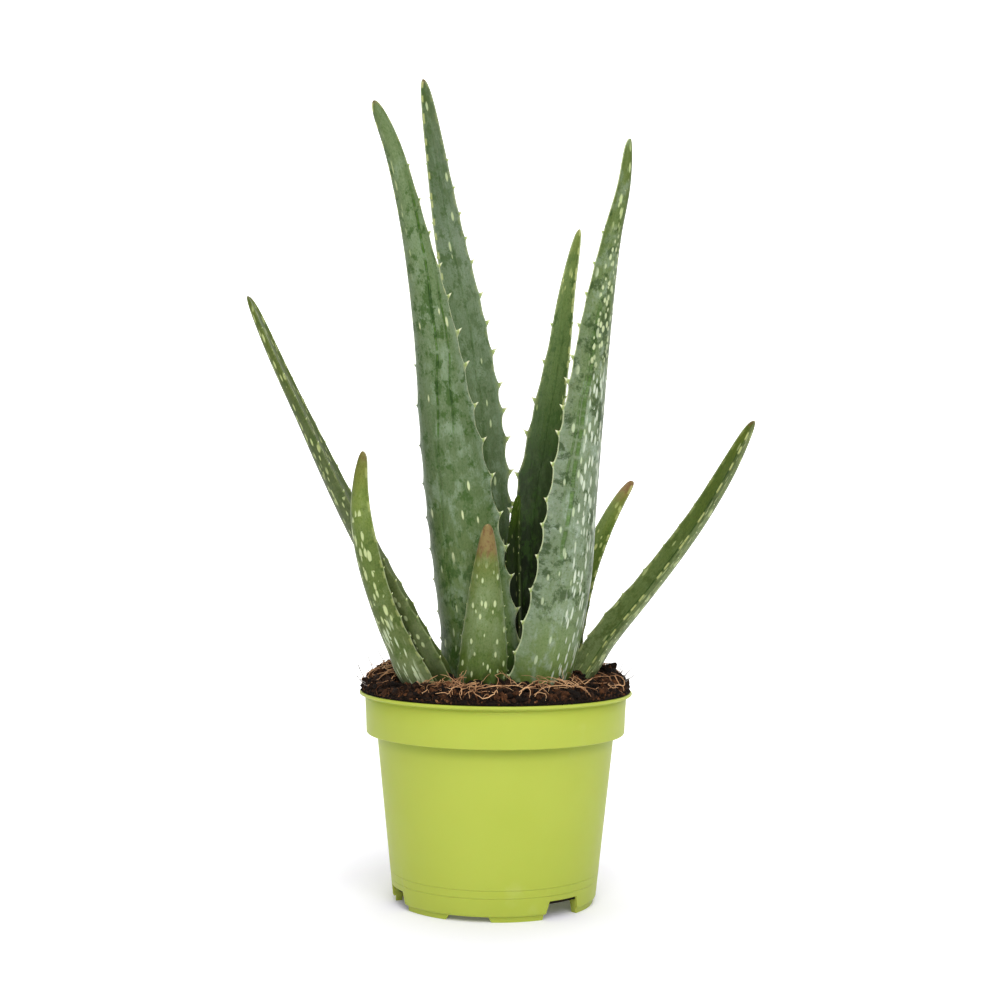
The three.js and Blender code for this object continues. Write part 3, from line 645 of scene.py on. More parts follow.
class ALOE_OT_pot(bpy.types.Operator):
    """Builds the nursery pot: turned shell, drain notches, foot gaps and rounded edges"""

    bl_idname = "aloe.pot"
    bl_label = "Pot"

    def execute(self, context):
        pot = context.scene.aloe_pot
        piece = turned_body("nursery_pot", pot_profile(pot), pot.segments)
        notches = [foot_wedge(a, top=0.008, top_width=0.0154, bottom_width=0.0194) for a in (41, -70, 165.5)]
        gaps = [foot_wedge(a, top=0.0024, top_width=0.017, bottom_width=0.020) for a in (-14.5, 103, -132)]
        cut(piece, notches + gaps)
        rounding = piece.modifiers.new("rounding", "BEVEL")
        rounding.width, rounding.segments = pot.rounding, 2
        rounding.limit_method, rounding.angle_limit = "ANGLE", math.radians(40)
        apply_modifiers(piece)
        bpy.ops.object.shade_smooth_by_angle(angle=math.radians(35))
        finish_piece(piece, "pot_plastic", pot_plastic(pot), ["pot"])
        return {"FINISHED"}


# --- Soil ---


def soil_height(x, y):
    """Height of the mound: low in front of the leaves and heaped behind them."""
    front = np.clip((0.007 - y) / 0.03, 0, 1)
    edge = (np.hypot(x, y) / SPILL_RADIUS) ** 9
    return SOIL_RIM + mix(0.009, 0.0034, front) * (1 - np.minimum(edge, 1))


def lump(x, y, size):
    """Rounded lumps of a size in metres, 0 between them and 1 on top."""
    distances, _ = noise.voronoi((x / size, y / size, 3.7))
    return max(0.0, 1 - distances[0] ** 2 * 1.6)


def soil_relief(x, y):
    """Broad and fine unevenness of the mound, in metres."""
    broad = noise.noise((x * 90, y * 90, 1.3))
    return 0.0006 * (1 + broad) + 0.0008 * lump(x, y, 0.0042) + 0.0004 * lump(y, x, 0.0019)


def soil_material(soil):
    """Peat and coir, from nearly black to reddish brown, with each crumb's own tone."""
    paint = Paint("peat and coir crumbs")
    place = paint.place()
    own = paint.attribute("crumb_tone").outputs["Fac"]
    fine = paint.noise(place, 900.0, 6.0, 0.7)
    cells = paint.cells(place, 700.0).outputs["Distance"]
    share = paint.math("ADD", paint.product(fine, 0.7), paint.product(own, 0.6))
    colour = paint.ramp(share, [
        (0.36, tone((12, 6, 3))), (0.52, picked(soil.dark)), (0.7, tone((64, 38, 20))),
        (0.88, picked(soil.light)), (1.0, tone((176, 126, 84)))])
    normal = paint.bump(fine, 0.0006, 0.9)
    normal = paint.bump(cells, 0.0004, 0.6, normal)
    return paint.done(colour, normal, Roughness=0.92, Specular_IOR_Level=0.2)


def put_attribute(mesh, name, kind, values):
    """Stores a value or a vector for each point of a mesh."""
    attribute = mesh.attributes.new(name, kind, "POINT")
    key = "value" if kind == "FLOAT" else "vector"
    attribute.data.foreach_set(key, np.ascontiguousarray(values, dtype=np.float32).ravel())


class ALOE_OT_soil(bpy.types.Operator):
    """Builds the body of soil that fills the pot, with its crumbly mound"""

    bl_idname = "aloe.soil"
    bl_label = "Soil"

    def execute(self, context):
        inset, rings, segments, ground_tone, edge_width = 0.0015, 74, 220, 0.12, 0.002
        sides = [(0.0436, 0.0065), *((wall_radius(z) - inset, z) for z in (0.0742, 0.0755)),
                 (0.0545, 0.0755), (0.0553, 0.0763), (0.0561, SOIL_RIM), (SPILL_RADIUS, SOIL_RIM)]
        top = [(SPILL_RADIUS * (1 - (n / rings)), SOIL_RIM) for n in range(1, rings)]
        piece = turned_body("soil_mound", sides + top, segments)
        for vertex in piece.data.vertices:
            x, y, z = vertex.co
            radius = math.hypot(x, y)
            if z > SOIL_RIM - 1e-5 and radius < SPILL_RADIUS - 1e-5:
                shift = min(1.0, (SPILL_RADIUS - radius) / edge_width)
                vertex.co.z = soil_height(x, y) + soil_relief(x, y) * shift
        put_attribute(piece.data, "crumb_tone", "FLOAT", [ground_tone] * len(piece.data.vertices))
        make_active(piece)
        bpy.ops.object.shade_smooth()
        finish_piece(piece, "soil", soil_material(context.scene.aloe_soil), ["soil"])
        return {"FINISHED"}


class ALOE_OT_soil_crumbs(bpy.types.Operator):
    """Scatters loose peat crumbs and clods over the soil, clear of the leaves"""

    bl_idname = "aloe.soil_crumbs"
    bl_label = "Soil crumbs"

    def execute(self, context):
        soil = context.scene.aloe_soil
        shapes = [crumb_shape(seed) for seed in range(4)]
        ground, *leaves = ground_and_leaves(context)
        rng = np.random.default_rng(7)
        reach, near_rim = 0.0597, 0.25
        corners, faces, tones, count = [], [], [], 0
        for _ in range(soil.crumbs):
            size = soil.crumb_size * float(np.clip(rng.lognormal(-0.05, 0.5), 0.4, 3.0))
            spread = rng.uniform(0.8, 1) if rng.random() < near_rim else rng.random()
            radius = (reach - size * 1.1) * math.sqrt(spread)
            turn = rng.random() * 2 * math.pi
            x, y = radius * math.cos(turn), radius * math.sin(turn)
            hit, _ = dropped(ground, x, y)
            centre = Vector((x, y, (hit.z if hit else SOIL_RIM) + size * rng.uniform(0.1, 0.6)))
            if any(inside(tree, centre) for tree in leaves):
                continue
            base, sides = shapes[rng.integers(len(shapes))]
            spin = turned(rng)
            stretch = np.array((rng.uniform(0.9, 1.9), rng.uniform(0.55, 1.0), rng.uniform(0.35, 0.8)))
            corners.append((base * stretch) @ spin.T * size + np.array(centre))
            faces.append(sides + count)
            tones.extend([rng.beta(1.1, 2.2)] * len(base))
            count += len(base)
        piece = gathered("soil_crumbs", np.vstack(corners), np.vstack(faces))
        put_attribute(piece.data, "crumb_tone", "FLOAT", tones)
        finish_piece(piece, "soil", bpy.data.materials["peat and coir crumbs"])
        return {"FINISHED"}


def ground_and_leaves(context):
    """Search trees of the mound and of each leaf."""
    depsgraph = context.evaluated_depsgraph_get()
    names = ["soil_mound", *(f"{name}_skin" for name in LEAVES)]
    return [BVHTree.FromObject(bpy.data.objects[name], depsgraph) for name in names]


def dropped(ground, x, y):
    """Where a point dropped from above meets the ground, and which way the ground faces there."""
    return ground.ray_cast(Vector((x, y, 0.2)), Vector((0, 0, -1)))[:2]


def crumb_shape(seed):
    """One rough crumb of radius 1: its corners and triangles."""
    deselect_all()
    bpy.ops.mesh.primitive_ico_sphere_add(subdivisions=1, radius=1)
    crumb = bpy.context.object
    bpy.ops.object.mode_set(mode="EDIT")
    bpy.ops.mesh.select_all(action="SELECT")
    bpy.ops.transform.vertex_random(offset=0.38, seed=seed)
    bpy.ops.object.mode_set(mode="OBJECT")
    corners = np.array([v.co for v in crumb.data.vertices])
    faces = np.array([tuple(p.vertices) for p in crumb.data.polygons])
    bpy.data.objects.remove(crumb)
    return corners, faces


def turned(rng):
    """A random turn as a 3 by 3 matrix."""
    matrix, _ = np.linalg.qr(rng.normal(size=(3, 3)))
    return matrix * np.sign(np.linalg.det(matrix))


def inside(tree, point):
    """Whether a point lies in a closed skin: then an odd number of its faces is above it."""
    up, crossings = Vector((0, 0, 1)), 0
    hit = tree.ray_cast(point, up)[0]
    while hit is not None:
        crossings += 1
        hit = tree.ray_cast(hit + up * 1e-6, up)[0]
    return crossings % 2 == 1


def gathered(name, corners, faces):
    """One object from the corners and triangles of many small copies."""
    mesh = bpy.data.meshes.new(name)
    mesh.from_pydata(corners.tolist(), [], faces.tolist())
    mesh.update()
    piece = bpy.data.objects.new(name, mesh)
    bpy.context.scene.collection.objects.link(piece)
    return piece


class ALOE_OT_soil_fibres(bpy.types.Operator):
    """Lays branching coir fibres over the soil and stands a few fine root hairs up at its edge"""

    bl_idname = "aloe.soil_fibres"
    bl_label = "Soil fibres"

    def execute(self, context):
        soil = context.scene.aloe_soil
        ground, *leaves = ground_and_leaves(context)
        rng = np.random.default_rng(11)
        reach, paths = 0.0588, []
        while len(paths) < soil.fibres:
            radius, turn = reach * math.sqrt(rng.uniform(0.45, 1)), rng.random() * 2 * math.pi
            start = (radius * math.cos(turn), radius * math.sin(turn))
            heading = rng.random() * 2 * math.pi
            path = fibre_path(rng, ground, leaves, start, heading, rng.integers(8, 28))
            if len(path) < 6:
                continue
            paths.append(path)
            for _ in range(rng.integers(0, 3)):
                fork = rng.integers(1, len(path) - 2)
                away = math.atan2(path[fork + 1][1] - path[fork][1], path[fork + 1][0] - path[fork][0])
                away += rng.choice((-1, 1)) * rng.uniform(0.5, 1.0)
                branch = fibre_path(rng, ground, leaves, path[fork][:2], away, rng.integers(5, 11))
                if len(branch) > 3:
                    paths.append([path[fork], *branch[1:]])
        strands("coir_fibres", paths, soil.fibre_radius, fibre_material(soil), rng)
        hairs_a_side = 9
        hairs = [hair_path(rng, side) for side in (-1, 1) for _ in range(hairs_a_side)]
        strands("root_hairs", hairs, soil.fibre_radius * 0.9, hair_material(), rng)
        return {"FINISHED"}


def fibre_path(rng, ground, leaves, start, heading, steps):
    """Points of one fibre that wanders over the soil and stays clear of the leaves."""
    x, y = start
    stride, clearance = 0.0014, 0.0012
    curl = rng.normal(0, 0.12)
    lift = rng.uniform(0.0004, 0.003)
    rise = rng.uniform(0.001, 0.007) if rng.random() < 0.45 else 0.0
    path = []
    for n in range(steps):
        share = n / (steps - 1)
        hit, slope = dropped(ground, x, y)
        if hit is None:
            break
        above = clearance + lift * math.sin(math.pi * share)
        spot = hit + slope * above + Vector((0, 0, rise * share**2))
        spot.xy *= min(1.0, SPILL_RADIUS / spot.xy.length)
        if any(inside(tree, spot) for tree in leaves):
            break
        path.append(tuple(spot))
        heading += curl + rng.normal(0, 0.28)
        x += stride * math.cos(heading)
        y += stride * math.sin(heading)
    return path


def hair_path(rng, side):
    """Points of one fine hair that curls out over the rim on the left (-1) or the right (1)."""
    turn = float(np.clip(rng.normal(0, 0.3), -0.5, 0.5))
    out = np.array((math.cos(turn) * side, math.sin(turn), 0))
    start = out * rng.uniform(0.053, 0.057) + (0, 0, SOIL_RIM + 0.003)
    reach, climb, sag = rng.uniform(0.006, 0.012), rng.uniform(0.003, 0.015), rng.uniform(-0.003, 0.004)
    sway = np.array((-out[1], out[0], 0)) * rng.uniform(-0.005, 0.005)
    return [tuple(start + out * reach * t + np.array((0, 0, climb * t - sag * math.sin(math.pi * t)))
                  + sway * t**2) for t in np.linspace(0, 1, 9)]


def strands(name, paths, radius, material, rng):
    """One object of thin round strands that taper towards their ends."""
    curve = bpy.data.curves.new(name, "CURVE")
    curve.dimensions = "3D"
    curve.bevel_depth, curve.bevel_resolution, curve.use_fill_caps = radius, 1, True
    for path in paths:
        spline = curve.splines.new("POLY")
        spline.points.add(len(path) - 1)
        thick = rng.uniform(0.65, 1.25)
        for n, (point, spot) in enumerate(zip(spline.points, path)):
            point.co = (*spot, 1)
            point.radius = thick * mix(1.0, 0.35, (n / (len(path) - 1)) ** 1.5)
    bpy.context.scene.collection.objects.link(bpy.data.objects.new(name, curve))
    make_active(bpy.data.objects[name])
    bpy.ops.object.convert(target="MESH")
    bpy.ops.object.shade_smooth()
    finish_piece(bpy.context.object, "soil", material)


def fibre_material(soil):
    paint = Paint("coir fibre")
    place = paint.place()
    colour = paint.ramp(paint.noise(place, 70.0, 2.0), [
        (0.32, tone((92, 54, 30))), (0.46, tone((176, 130, 92))), (0.6, picked(soil.fibre))])
    normal = paint.bump(paint.noise(place, 2500.0, 2.0), 0.0001, 0.5)
    return paint.done(colour, normal, Roughness=0.8, Specular_IOR_Level=0.3)


def hair_material():
    paint = Paint("grey root hair")
    share = paint.noise(paint.place(), 300.0, 2.0)
    return paint.done(paint.mixed(share, tone((112, 106, 100)), tone((158, 152, 146))), Roughness=0.7)


# --- Stem ---


class ALOE_OT_stem(bpy.types.Operator):
    """Dresses the buried stem in a fibrous skin"""

    bl_idname = "aloe.stem"
    bl_label = "Stem"

    def execute(self, context):
        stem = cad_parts["stem"]
        paint = Paint("fibrous stem")
        place = paint.place()
        mapped = paint.node("ShaderNodeMapping", {"Vector": place, "Scale": (900, 900, 60)}).outputs[0]
        streaks = paint.noise(mapped, 1.0, 4.0)
        colour = paint.mixed(streaks, tone((96, 80, 48)), tone((168, 150, 104)))
        material = paint.done(colour, paint.bump(streaks, 0.0004, 0.6), Roughness=0.8)
        stem.data.materials.clear()
        stem.data.materials.append(material)
        return {"FINISHED"}


# --- Leaves ---


def smooth_through(values, shares):
    """A smooth curve through evenly spaced values, and its slope, at each share from 0 to 1."""
    values = np.asarray(values, float)
    last = len(values) - 1
    padded = np.concatenate([[2 * values[0] - values[1]], values, [2 * values[-1] - values[-2]]])
    place = np.clip(shares, 0, 1) * last
    i = np.minimum(last - 1, np.floor(place)).astype(int)
    t = place - i
    if values.ndim > 1:
        t = t[:, None]
    before, start, end, after = (padded[i + k] for k in range(4))
    v0, v1, rise = (end - before) / 2, (after - start) / 2, end - start
    curve = start + v0 * t + (3 * rise - 2 * v0 - v1) * t**2 + (v0 + v1 - 2 * rise) * t**3
    slope = v0 + 2 * (3 * rise - 2 * v0 - v1) * t + 3 * (v0 + v1 - 2 * rise) * t**2
    return curve, slope


def leaf_course(leaf):
    """The stations with the leaf's seat on the stem, which is narrower, put in front of them."""
    stations = np.array(leaf["stations"], float)
    distance, height = leaf["seat"]
    away = stations[0, :2] - STEM_AXIS
    away *= distance / np.hypot(*away)
    narrowing = 0.32
    return np.vstack([[*(STEM_AXIS + away), height, stations[0, 3] * narrowing], stations])


def unit(vectors):
    return vectors / np.linalg.norm(vectors, axis=-1, keepdims=True)


def leaf_sections(leaf, course, shares):
    """The cross sections at shares of the way from seat to tip.

    The half width follows the stations and rounds off at the very tip.
    """
    centre, slope = smooth_through(course[:, :3], shares)
    along = unit(slope)
    heading = np.radians(mix(*leaf["face"], shares))
    inner = np.stack([np.cos(heading), np.sin(heading), np.zeros_like(heading)], axis=1)
    inner = unit(inner - (inner * along).sum(1, keepdims=True) * along)
    half = smooth_through(course[:, 3], shares)[0] * np.sqrt(np.maximum(0, 1 - shares**40))
    opened = np.clip(shares * (len(course) - 1), 0, 1)
    return {
        "centre": centre, "along": along, "inner": inner, "side": np.cross(along, inner), "half": half,
        "thick": half * mix(*leaf["plump"], shares),
        "fold": half * leaf["channel"] * opened * mix(1, 0.5, shares),
    }


def beside(sections, across, deep):
    """Places so far across and so deep from the middle of each section."""
    return sections["centre"] + sections["side"] * across[:, None] + sections["inner"] * deep[:, None]


def tooth_places(leaf, course, margin):
    """The lengths along the leaf at even shares, and the place and reach of each tooth of a margin.

    The teeth get smaller towards the tip.
    """
    shares = np.linspace(0, 1, 401)
    sections = leaf_sections(leaf, course, shares)
    lengths = np.concatenate([[0], np.cumsum(np.linalg.norm(np.diff(sections["centre"], axis=0), axis=1))])
    side = sections["half"] * (1 if margin else -1)
    climb = beside(sections, side, (sections["thick"] + sections["fold"]) / 2)[:, 2]
    size, heights = leaf["teeth"][margin]
    places = np.array([lengths[np.argmax(climb >= height)] for height in heights])
    reach = size * np.clip(0.15 + 2.2 * (lengths[-1] - places) / lengths[-1], 0, 1)
    return shares, lengths, places, reach


def tooth_reach(lengths, places, reach, web):
    """How far the margin stands out at each length: its scallops, its points, and how near a point is.

    The scallops between the teeth are deep near the soil and shallow further up. The web fills them.
    """
    offset = lengths[:, None] - places[None, :]
    gaps, end_gap = np.diff(places), 3.4
    before, after = np.append(end_gap * reach[0], gaps), np.append(gaps, end_gap * reach[-1])
    room = np.where(offset < 0, before, after) / 2
    flank = np.clip(1 - np.abs(offset) / room, 0, 1) ** 1.9
    lean = np.where(offset < 0, 0.75, 0.48)
    point = np.clip(1 - np.abs(offset) / (reach * lean), 0, 1) ** 1.5
    depth = np.clip(1.2 - 1.7 * places / lengths.max(), 0.12, 0.5)
    scallop = ((1.45 - 0.45 * web) * depth * flank - 0.5 * depth) * reach * (np.abs(offset) < room)
    spine = (1.15 - (0.9 + 0.7 * web) * depth) * point * reach
    filled = web * np.interp(lengths, places, 1.1 * depth * reach)
    return scallop.sum(1) + filled, spine.sum(1), point.max(1)


def leaf_rows(lengths, shares, teeth, leaf_settings):
    """Shares of the rows, closer together at the teeth and at the tip."""
    plain, close = leaf_settings.row_step / MM, leaf_settings.tooth_step / MM
    tip_step, tip_share = 0.5, 0.975
    along = np.linspace(0, lengths[-1], 4001)
    density = np.full_like(along, 1 / plain)
    for places, reach in teeth:
        for place, size in zip(places, reach):
            away = np.abs(along - place)
            density[away < 2.6 * size] = np.maximum(density, 0.5 / close)[away < 2.6 * size]
            density[away < 1.2 * size + 0.2] = 1 / close
    density[along > lengths[-1] * tip_share] = 1 / tip_step
    total = np.concatenate([[0], np.cumsum((density[1:] + density[:-1]) / 2 * np.diff(along))])
    places = np.interp(np.linspace(0, total[-1], int(total[-1])), total, along)
    return np.interp(places, lengths, shares)


def leaf_skin(name, leaf, leaf_settings):
    """The closed skin of a leaf with its toothed margins, drawn out of a sphere."""
    course = leaf_course(leaf)
    even_shares, lengths, *left = tooth_places(leaf, course, 0)
    right = tooth_places(leaf, course, 1)[2:]
    shares = leaf_rows(lengths, even_shares, [left, right], leaf_settings)
    # the share of the last row, how far the columns gather at the margins, and the faces' roundness
    last_share, gathering, roundness = 0.9985, 0.275, 1.2
    shares[-1] = last_share
    deselect_all()
    bpy.ops.mesh.primitive_uv_sphere_add(segments=leaf_settings.columns, ring_count=len(shares) + 1, radius=1)
    piece = bpy.context.object
    piece.name = name
    mesh = piece.data
    ball = np.zeros(len(mesh.vertices) * 3)
    mesh.vertices.foreach_get("co", ball)
    ball = ball.reshape(-1, 3)
    row = np.rint(np.arccos(np.clip(-ball[:, 2], -1, 1)) / math.pi * (len(shares) + 1)).astype(int)
    turn = np.arctan2(ball[:, 1], ball[:, 0])
    turn = turn - gathering * np.sin(2 * turn)
    share = np.concatenate([[0], shares, [1]])[row]
    sections = leaf_sections(leaf, course, share)
    length = np.interp(share, even_shares, lengths)
    across = np.cos(turn)
    pole = (row == 0) | (row == len(shares) + 1)
    outer = np.sin(turn) < 0
    rise = np.abs(np.sin(turn)) ** roundness
    half, thick, fold = sections["half"], sections["thick"], sections["fold"]
    depth = (thick - fold) / 2 + fold * across**2 - np.where(outer, thick * rise, 0)
    place = beside(sections, half * across, depth)
    edge = np.hypot(half * (1 - np.abs(across)), depth - (thick + fold) / 2)
    margins = zip(tooth_reach(length, *left, leaf["web"]), tooth_reach(length, *right, leaf["web"]))
    sign = np.where(across > 0, 1.0, -1.0)
    scallop, spine, tooth = (np.where(across > 0, b, a) for a, b in margins)
    outward = unit(sections["side"] * (half * sign)[:, None] + sections["inner"] * (2 * fold)[:, None] + 1e-9)
    near, beyond = (np.exp(-((edge / width) ** 1.3)) for width in (0.5, 1.8))
    near[pole] = 0
    place = place + outward * (scallop * beyond + spine * near)[:, None]
    place = place + sections["along"] * (0.8 * spine * near)[:, None]
    place[pole] = sections["centre"][pole]
    mesh.vertices.foreach_set("co", (place * MM).ravel())
    put_attribute(mesh, "leaf_place", "FLOAT_VECTOR",
                  np.stack([half * across, length, np.where(outer, -rise, rise) * thick / 2], axis=1))
    put_attribute(mesh, "leaf_form", "FLOAT_VECTOR", np.stack([across, edge, tooth * near], axis=1))
    mesh.update()
    face_out(piece)
    make_active(piece)
    bpy.ops.object.shade_smooth()
    return piece


def leaf_material(name, look, leaf_settings):
    """Leaf skin: greens that change with height, with painted shade low down, patches, bloom, creases
    darkened with painted shade, spots, pale margin and teeth.
    """
    paint = Paint(f"{name} skin")
    step, scaled, product, mixed, shaded = paint.step, paint.scaled, paint.product, paint.mixed, paint.shaded
    place = paint.attribute("leaf_place").outputs["Vector"]
    wide, long, deep = paint.split(place)
    across, edge, tooth = paint.split(paint.attribute("leaf_form").outputs["Vector"])
    height = product(paint.split(paint.place())[2], 1 / MM)
    inner, to_right = step(deep, -0.15, 0.15), step(across, -0.1, 0.1)

    def stretched(x, y):
        return paint.vector("MULTIPLY", place, (x, y, x))

    def mottle(x, y, detail, roughness=0.5):
        return paint.noise(stretched(x, y), 1.0, detail, roughness)

    def sided(left, right):
        return scaled(to_right, right - left, left)

    # The ramp of tones carries painted shade: darkest near the soil and on the inner leaves, where the leaves
    # shade one another.
    low, high = look["tones"][0][0], look["tones"][-1][0]
    level = paint.math("ADD", height, scaled(mottle(0.14, 0.07, 3.0), 20.0, -10.0))
    level = paint.node("ShaderNodeMapRange", {0: level, 1: low, 2: high}).outputs[0]
    colour = paint.ramp(level, [((h - low) / (high - low), tone(c)) for h, *c in look["tones"]])
    if look["inner"]:
        colour = shaded(inner, colour, look["inner"])

    bloom_tone, bloom_width, bloom_left, bloom_right, clouds = look["bloom"]
    cloudy, lower_part = mottle(0.2, 0.1, 5.0, 0.62), step(level, 0.85, 0.45)
    rim = product(step(edge, bloom_width, bloom_width * 0.2), step(cloudy, 0.3, 0.55),
                  sided(bloom_left, bloom_right), lower_part)
    veil = product(step(cloudy, 0.47, 0.7), clouds, scaled(lower_part, 0.5, 0.5))
    colour = mixed(paint.largest(rim, veil), colour, tone(bloom_tone))

    half = paint.math("DIVIDE", wide, paint.math("ADD", across, 1e-4))
    if look["strip"]:
        strip_tone, seam, strip_share = look["strip"]
        strip = product(step(across, seam - 0.05, seam + 0.05), strip_share,
                        scaled(step(height, 195, 155), 0.7, 0.3))
        colour = mixed(strip, colour, tone(strip_tone))

    patch_tone, patch_share, patch_low, patch_high = look["patch"]
    blotch = paint.noise(paint.vector("ADD", stretched(0.2, 0.13), (7.0, 3.0, 0.0)), 1.0, 7.0, 0.72)
    patch = product(step(blotch, 0.5, 0.6), patch_share, paint.window(height, patch_low, patch_high, 10, 15))
    colour = mixed(patch, colour, tone(patch_tone))

    grit = mottle(1.5, 0.9, 4.0, 0.75)
    colour = shaded(step(mottle(1.6, 0.06, 4.0, 0.6), 0.42, 0.75), colour, (0.86, 0.9, 0.8))
    colour = shaded(step(grit, 0.5, 0.66), colour, (0.7, 0.79, 0.6))
    colour = shaded(step(grit, 0.48, 0.34), colour, (1.18, 1.14, 1.22))

    grooves = []
    for a0, h0, a1, h1, width, share in look["creases"]:
        slope = (a1 - a0) / (h1 - h0)
        course = scaled(height, slope, a0 - slope * h0)
        wave = scaled(mottle(0.0, 0.05, 2.0), 0.24, -0.12)
        away = paint.math("SUBTRACT", across, paint.math("ADD", course, wave))
        away = product(paint.math("ABSOLUTE", away), half)
        ends = paint.window(height, h0, h1, 12, 12)
        # Painted shade: a dark line along each crease with a softer dark band beside it; the groove itself is
        # a bump.
        painted_crease_halo = product(step(away, width * 2.6, width * 0.4), ends, scaled(grit, 1.6, -0.3), share * 0.38)
        line = product(step(away, width * 0.5, width * 0.25), ends, share,
                       step(mottle(0.0, 0.3, 3.0), 0.3, 0.55))
        colour = shaded(painted_crease_halo, colour, (0.56, 0.74, 0.36))
        colour = shaded(line, colour, (0.38, 0.62, 0.12))
        grooves.append(line)

    raised, inner_shift = [], 57.0
    flat_place = paint.node("ShaderNodeCombineXYZ", {
        0: wide, 1: scaled(paint.math("GREATER_THAN", inner, 0.5), inner_shift, long)}).outputs[0]
    for spot_tone, cell, run, size, share, heights, reach, strength, clump, within in look["spots"]:
        cells = paint.cells(paint.vector("MULTIPLY", flat_place, (1 / cell, 1 / run, 1.0)), dimensions="2D")
        random = paint.split(cells.outputs["Color"])
        border = scaled(random[0], size * 0.8, size * 0.75)
        rough = scaled(mottle(1.0, 0.5, 2.0), size * 0.5, size * -0.25)
        spot = paint.math("SUBTRACT", border, paint.math("ADD", cells.outputs["Distance"], rough))
        band = step(mottle(0.1, 0.13, 2.0), 0.4, 0.5)
        some = paint.math("LESS_THAN", random[2], product(share, scaled(band, clump, 1 - clump)))
        where = product(paint.window(height, *heights, 4, 6), paint.window(across, *reach, 0.1, 0.1),
                        scaled(inner, within - 1, 1.0))
        shown = product(step(spot, size * -0.2, size * 0.5), some, where, strength)
        colour = mixed(shown, colour, tone(spot_tone))
        raised.append(shown)

    if look["tip"]:
        start, end, tip_tone = look["tip"]
        ragged = scaled(mottle(0.7, 0.3, 4.0, 0.7), 14.0, -7.0)
        dry = step(paint.math("ADD", height, ragged), start, end)
        scorched = paint.largest(step(mottle(0.45, 0.3, 5.0, 0.7), 0.47, 0.6), step(edge, 1.3, 0.3))
        scorched_tone = tone([c * k for c, k in zip(tip_tone, (0.86, 0.73, 0.74))])
        colour = mixed(product(dry, 0.92), colour, mixed(scorched, tone(tip_tone), scorched_tone))

    dash_pitch = 7.5
    dashes = paint.cells(product(long, 1 / dash_pitch), dimensions="1D").outputs["Distance"]
    dash = product(step(dashes, 0.27, 0.15), sided(*look["chains"]),
                   step(edge, 0.1, 0.4), step(edge, 1.6, 1.0))
    if look["strip"]:
        away = product(paint.math("ABSOLUTE", paint.math("SUBTRACT", across, seam)), half)
        dash = paint.largest(dash, product(step(dashes, 0.3, 0.16), step(away, 0.85, 0.45), 0.9))
    colour = mixed(dash, colour, tone((196, 202, 128)))
    broken = step(mottle(0.0, 0.22, 3.0), 0.3, 0.48)
    line = product(step(edge, 0.75, 0.35), broken, sided(*look["margins"]))
    colour = mixed(line, colour, tone((190, 201, 156)))
    colour = mixed(step(tooth, 0.08, 0.3), colour, tone((146, 164, 92)))
    colour = mixed(step(tooth, 0.3, 0.6), colour, picked(leaf_settings.tooth))
    colour = mixed(product(step(tooth, 0.8, 0.97), 0.5), colour, tone((186, 148, 84)))
    colour = mixed(1.0, colour, (*leaf_settings.skin, 1), "MULTIPLY")

    normal = paint.bump(mottle(0.5, 0.03, 3.0), 0.0008, 0.4)
    normal = paint.bump(grit, 0.00012, 0.5, normal)
    if grooves:
        normal = paint.bump(paint.largest(*grooves), -0.0006, 0.9, normal)
    normal = paint.bump(paint.largest(*raised), 0.00015, 0.8, normal)
    return paint.done(colour, normal, Roughness=scaled(cloudy, 0.3, leaf_settings.roughness - 0.15),
                      Specular_IOR_Level=0.25, Subsurface_Weight=0.05, Subsurface_Scale=0.0015)


class ALOE_OT_leaves(bpy.types.Operator):
    """Grows the ten leaves with their teeth, and paints each one's skin"""

    bl_idname = "aloe.leaves"
    bl_label = "Leaves"

    def execute(self, context):
        leaf_settings = context.scene.aloe_leaves
        for name in LEAVES:
            leaf, look = {**LEAF_DEFAULTS, **LEAVES[name]}, {**LOOK_DEFAULTS, **LOOKS[name]}
            piece = leaf_skin(f"{name}_skin", leaf, leaf_settings)
            finish_piece(piece, leaf["slot"], leaf_material(name, look, leaf_settings), [name])
        return {"FINISHED"}


# --- Stage ---


def softbox(name, place, target, size, power):
    """A square studio lamp at a place, turned towards a target."""
    lamp = bpy.data.lights.new(name, "AREA")
    lamp.size, lamp.energy = size, power
    holder = bpy.data.objects.new(name, lamp)
    holder.matrix_world = Matrix.Translation(place) @ (
        Vector(target) - Vector(place)).to_track_quat("-Z", "Y").to_matrix().to_4x4()
    bpy.context.scene.collection.objects.link(holder)


def paper(stage):
    """White paper, darker under the pot, with painted light: it glows least close to the pot, more a little
    way out and most behind it, and near the pot a painted tint counters the pot's green reflection.
    """
    paint = Paint("white paper")
    place = paint.place()
    near = paint.node("ShaderNodeVectorMath", {0: place}, operation="LENGTH").outputs["Value"]
    # Painted light: the paper glows, least close to the pot so that only a contact shadow stays, more a
    # little way out, which lifts the pot's cast shadow to white, and most towards the back.
    painted_glow = paint.scaled(paint.step(near, 0.07, 0.13), 0.14, 0.08)
    painted_glow = paint.scaled(paint.step(paint.split(place)[1], 0.1, 1.0), 0.6, painted_glow)
    darker = [c * 0.985 for c in stage.floor]
    white = paint.mixed(paint.noise(place, 400.0, 2.0), (*stage.floor, 1), (*darker, 1))
    # Painted tint near the pot: less red and green and more blue, against the green light the pot reflects
    # onto the paper.
    white = paint.shaded(paint.step(near, 0.2, 0.05), white, (0.98, 0.96, 1.06))
    return paint.done(white, Roughness=0.9, Specular_IOR_Level=0.1, Emission_Color=(1, 1, 1, 1),
                      Emission_Strength=painted_glow)


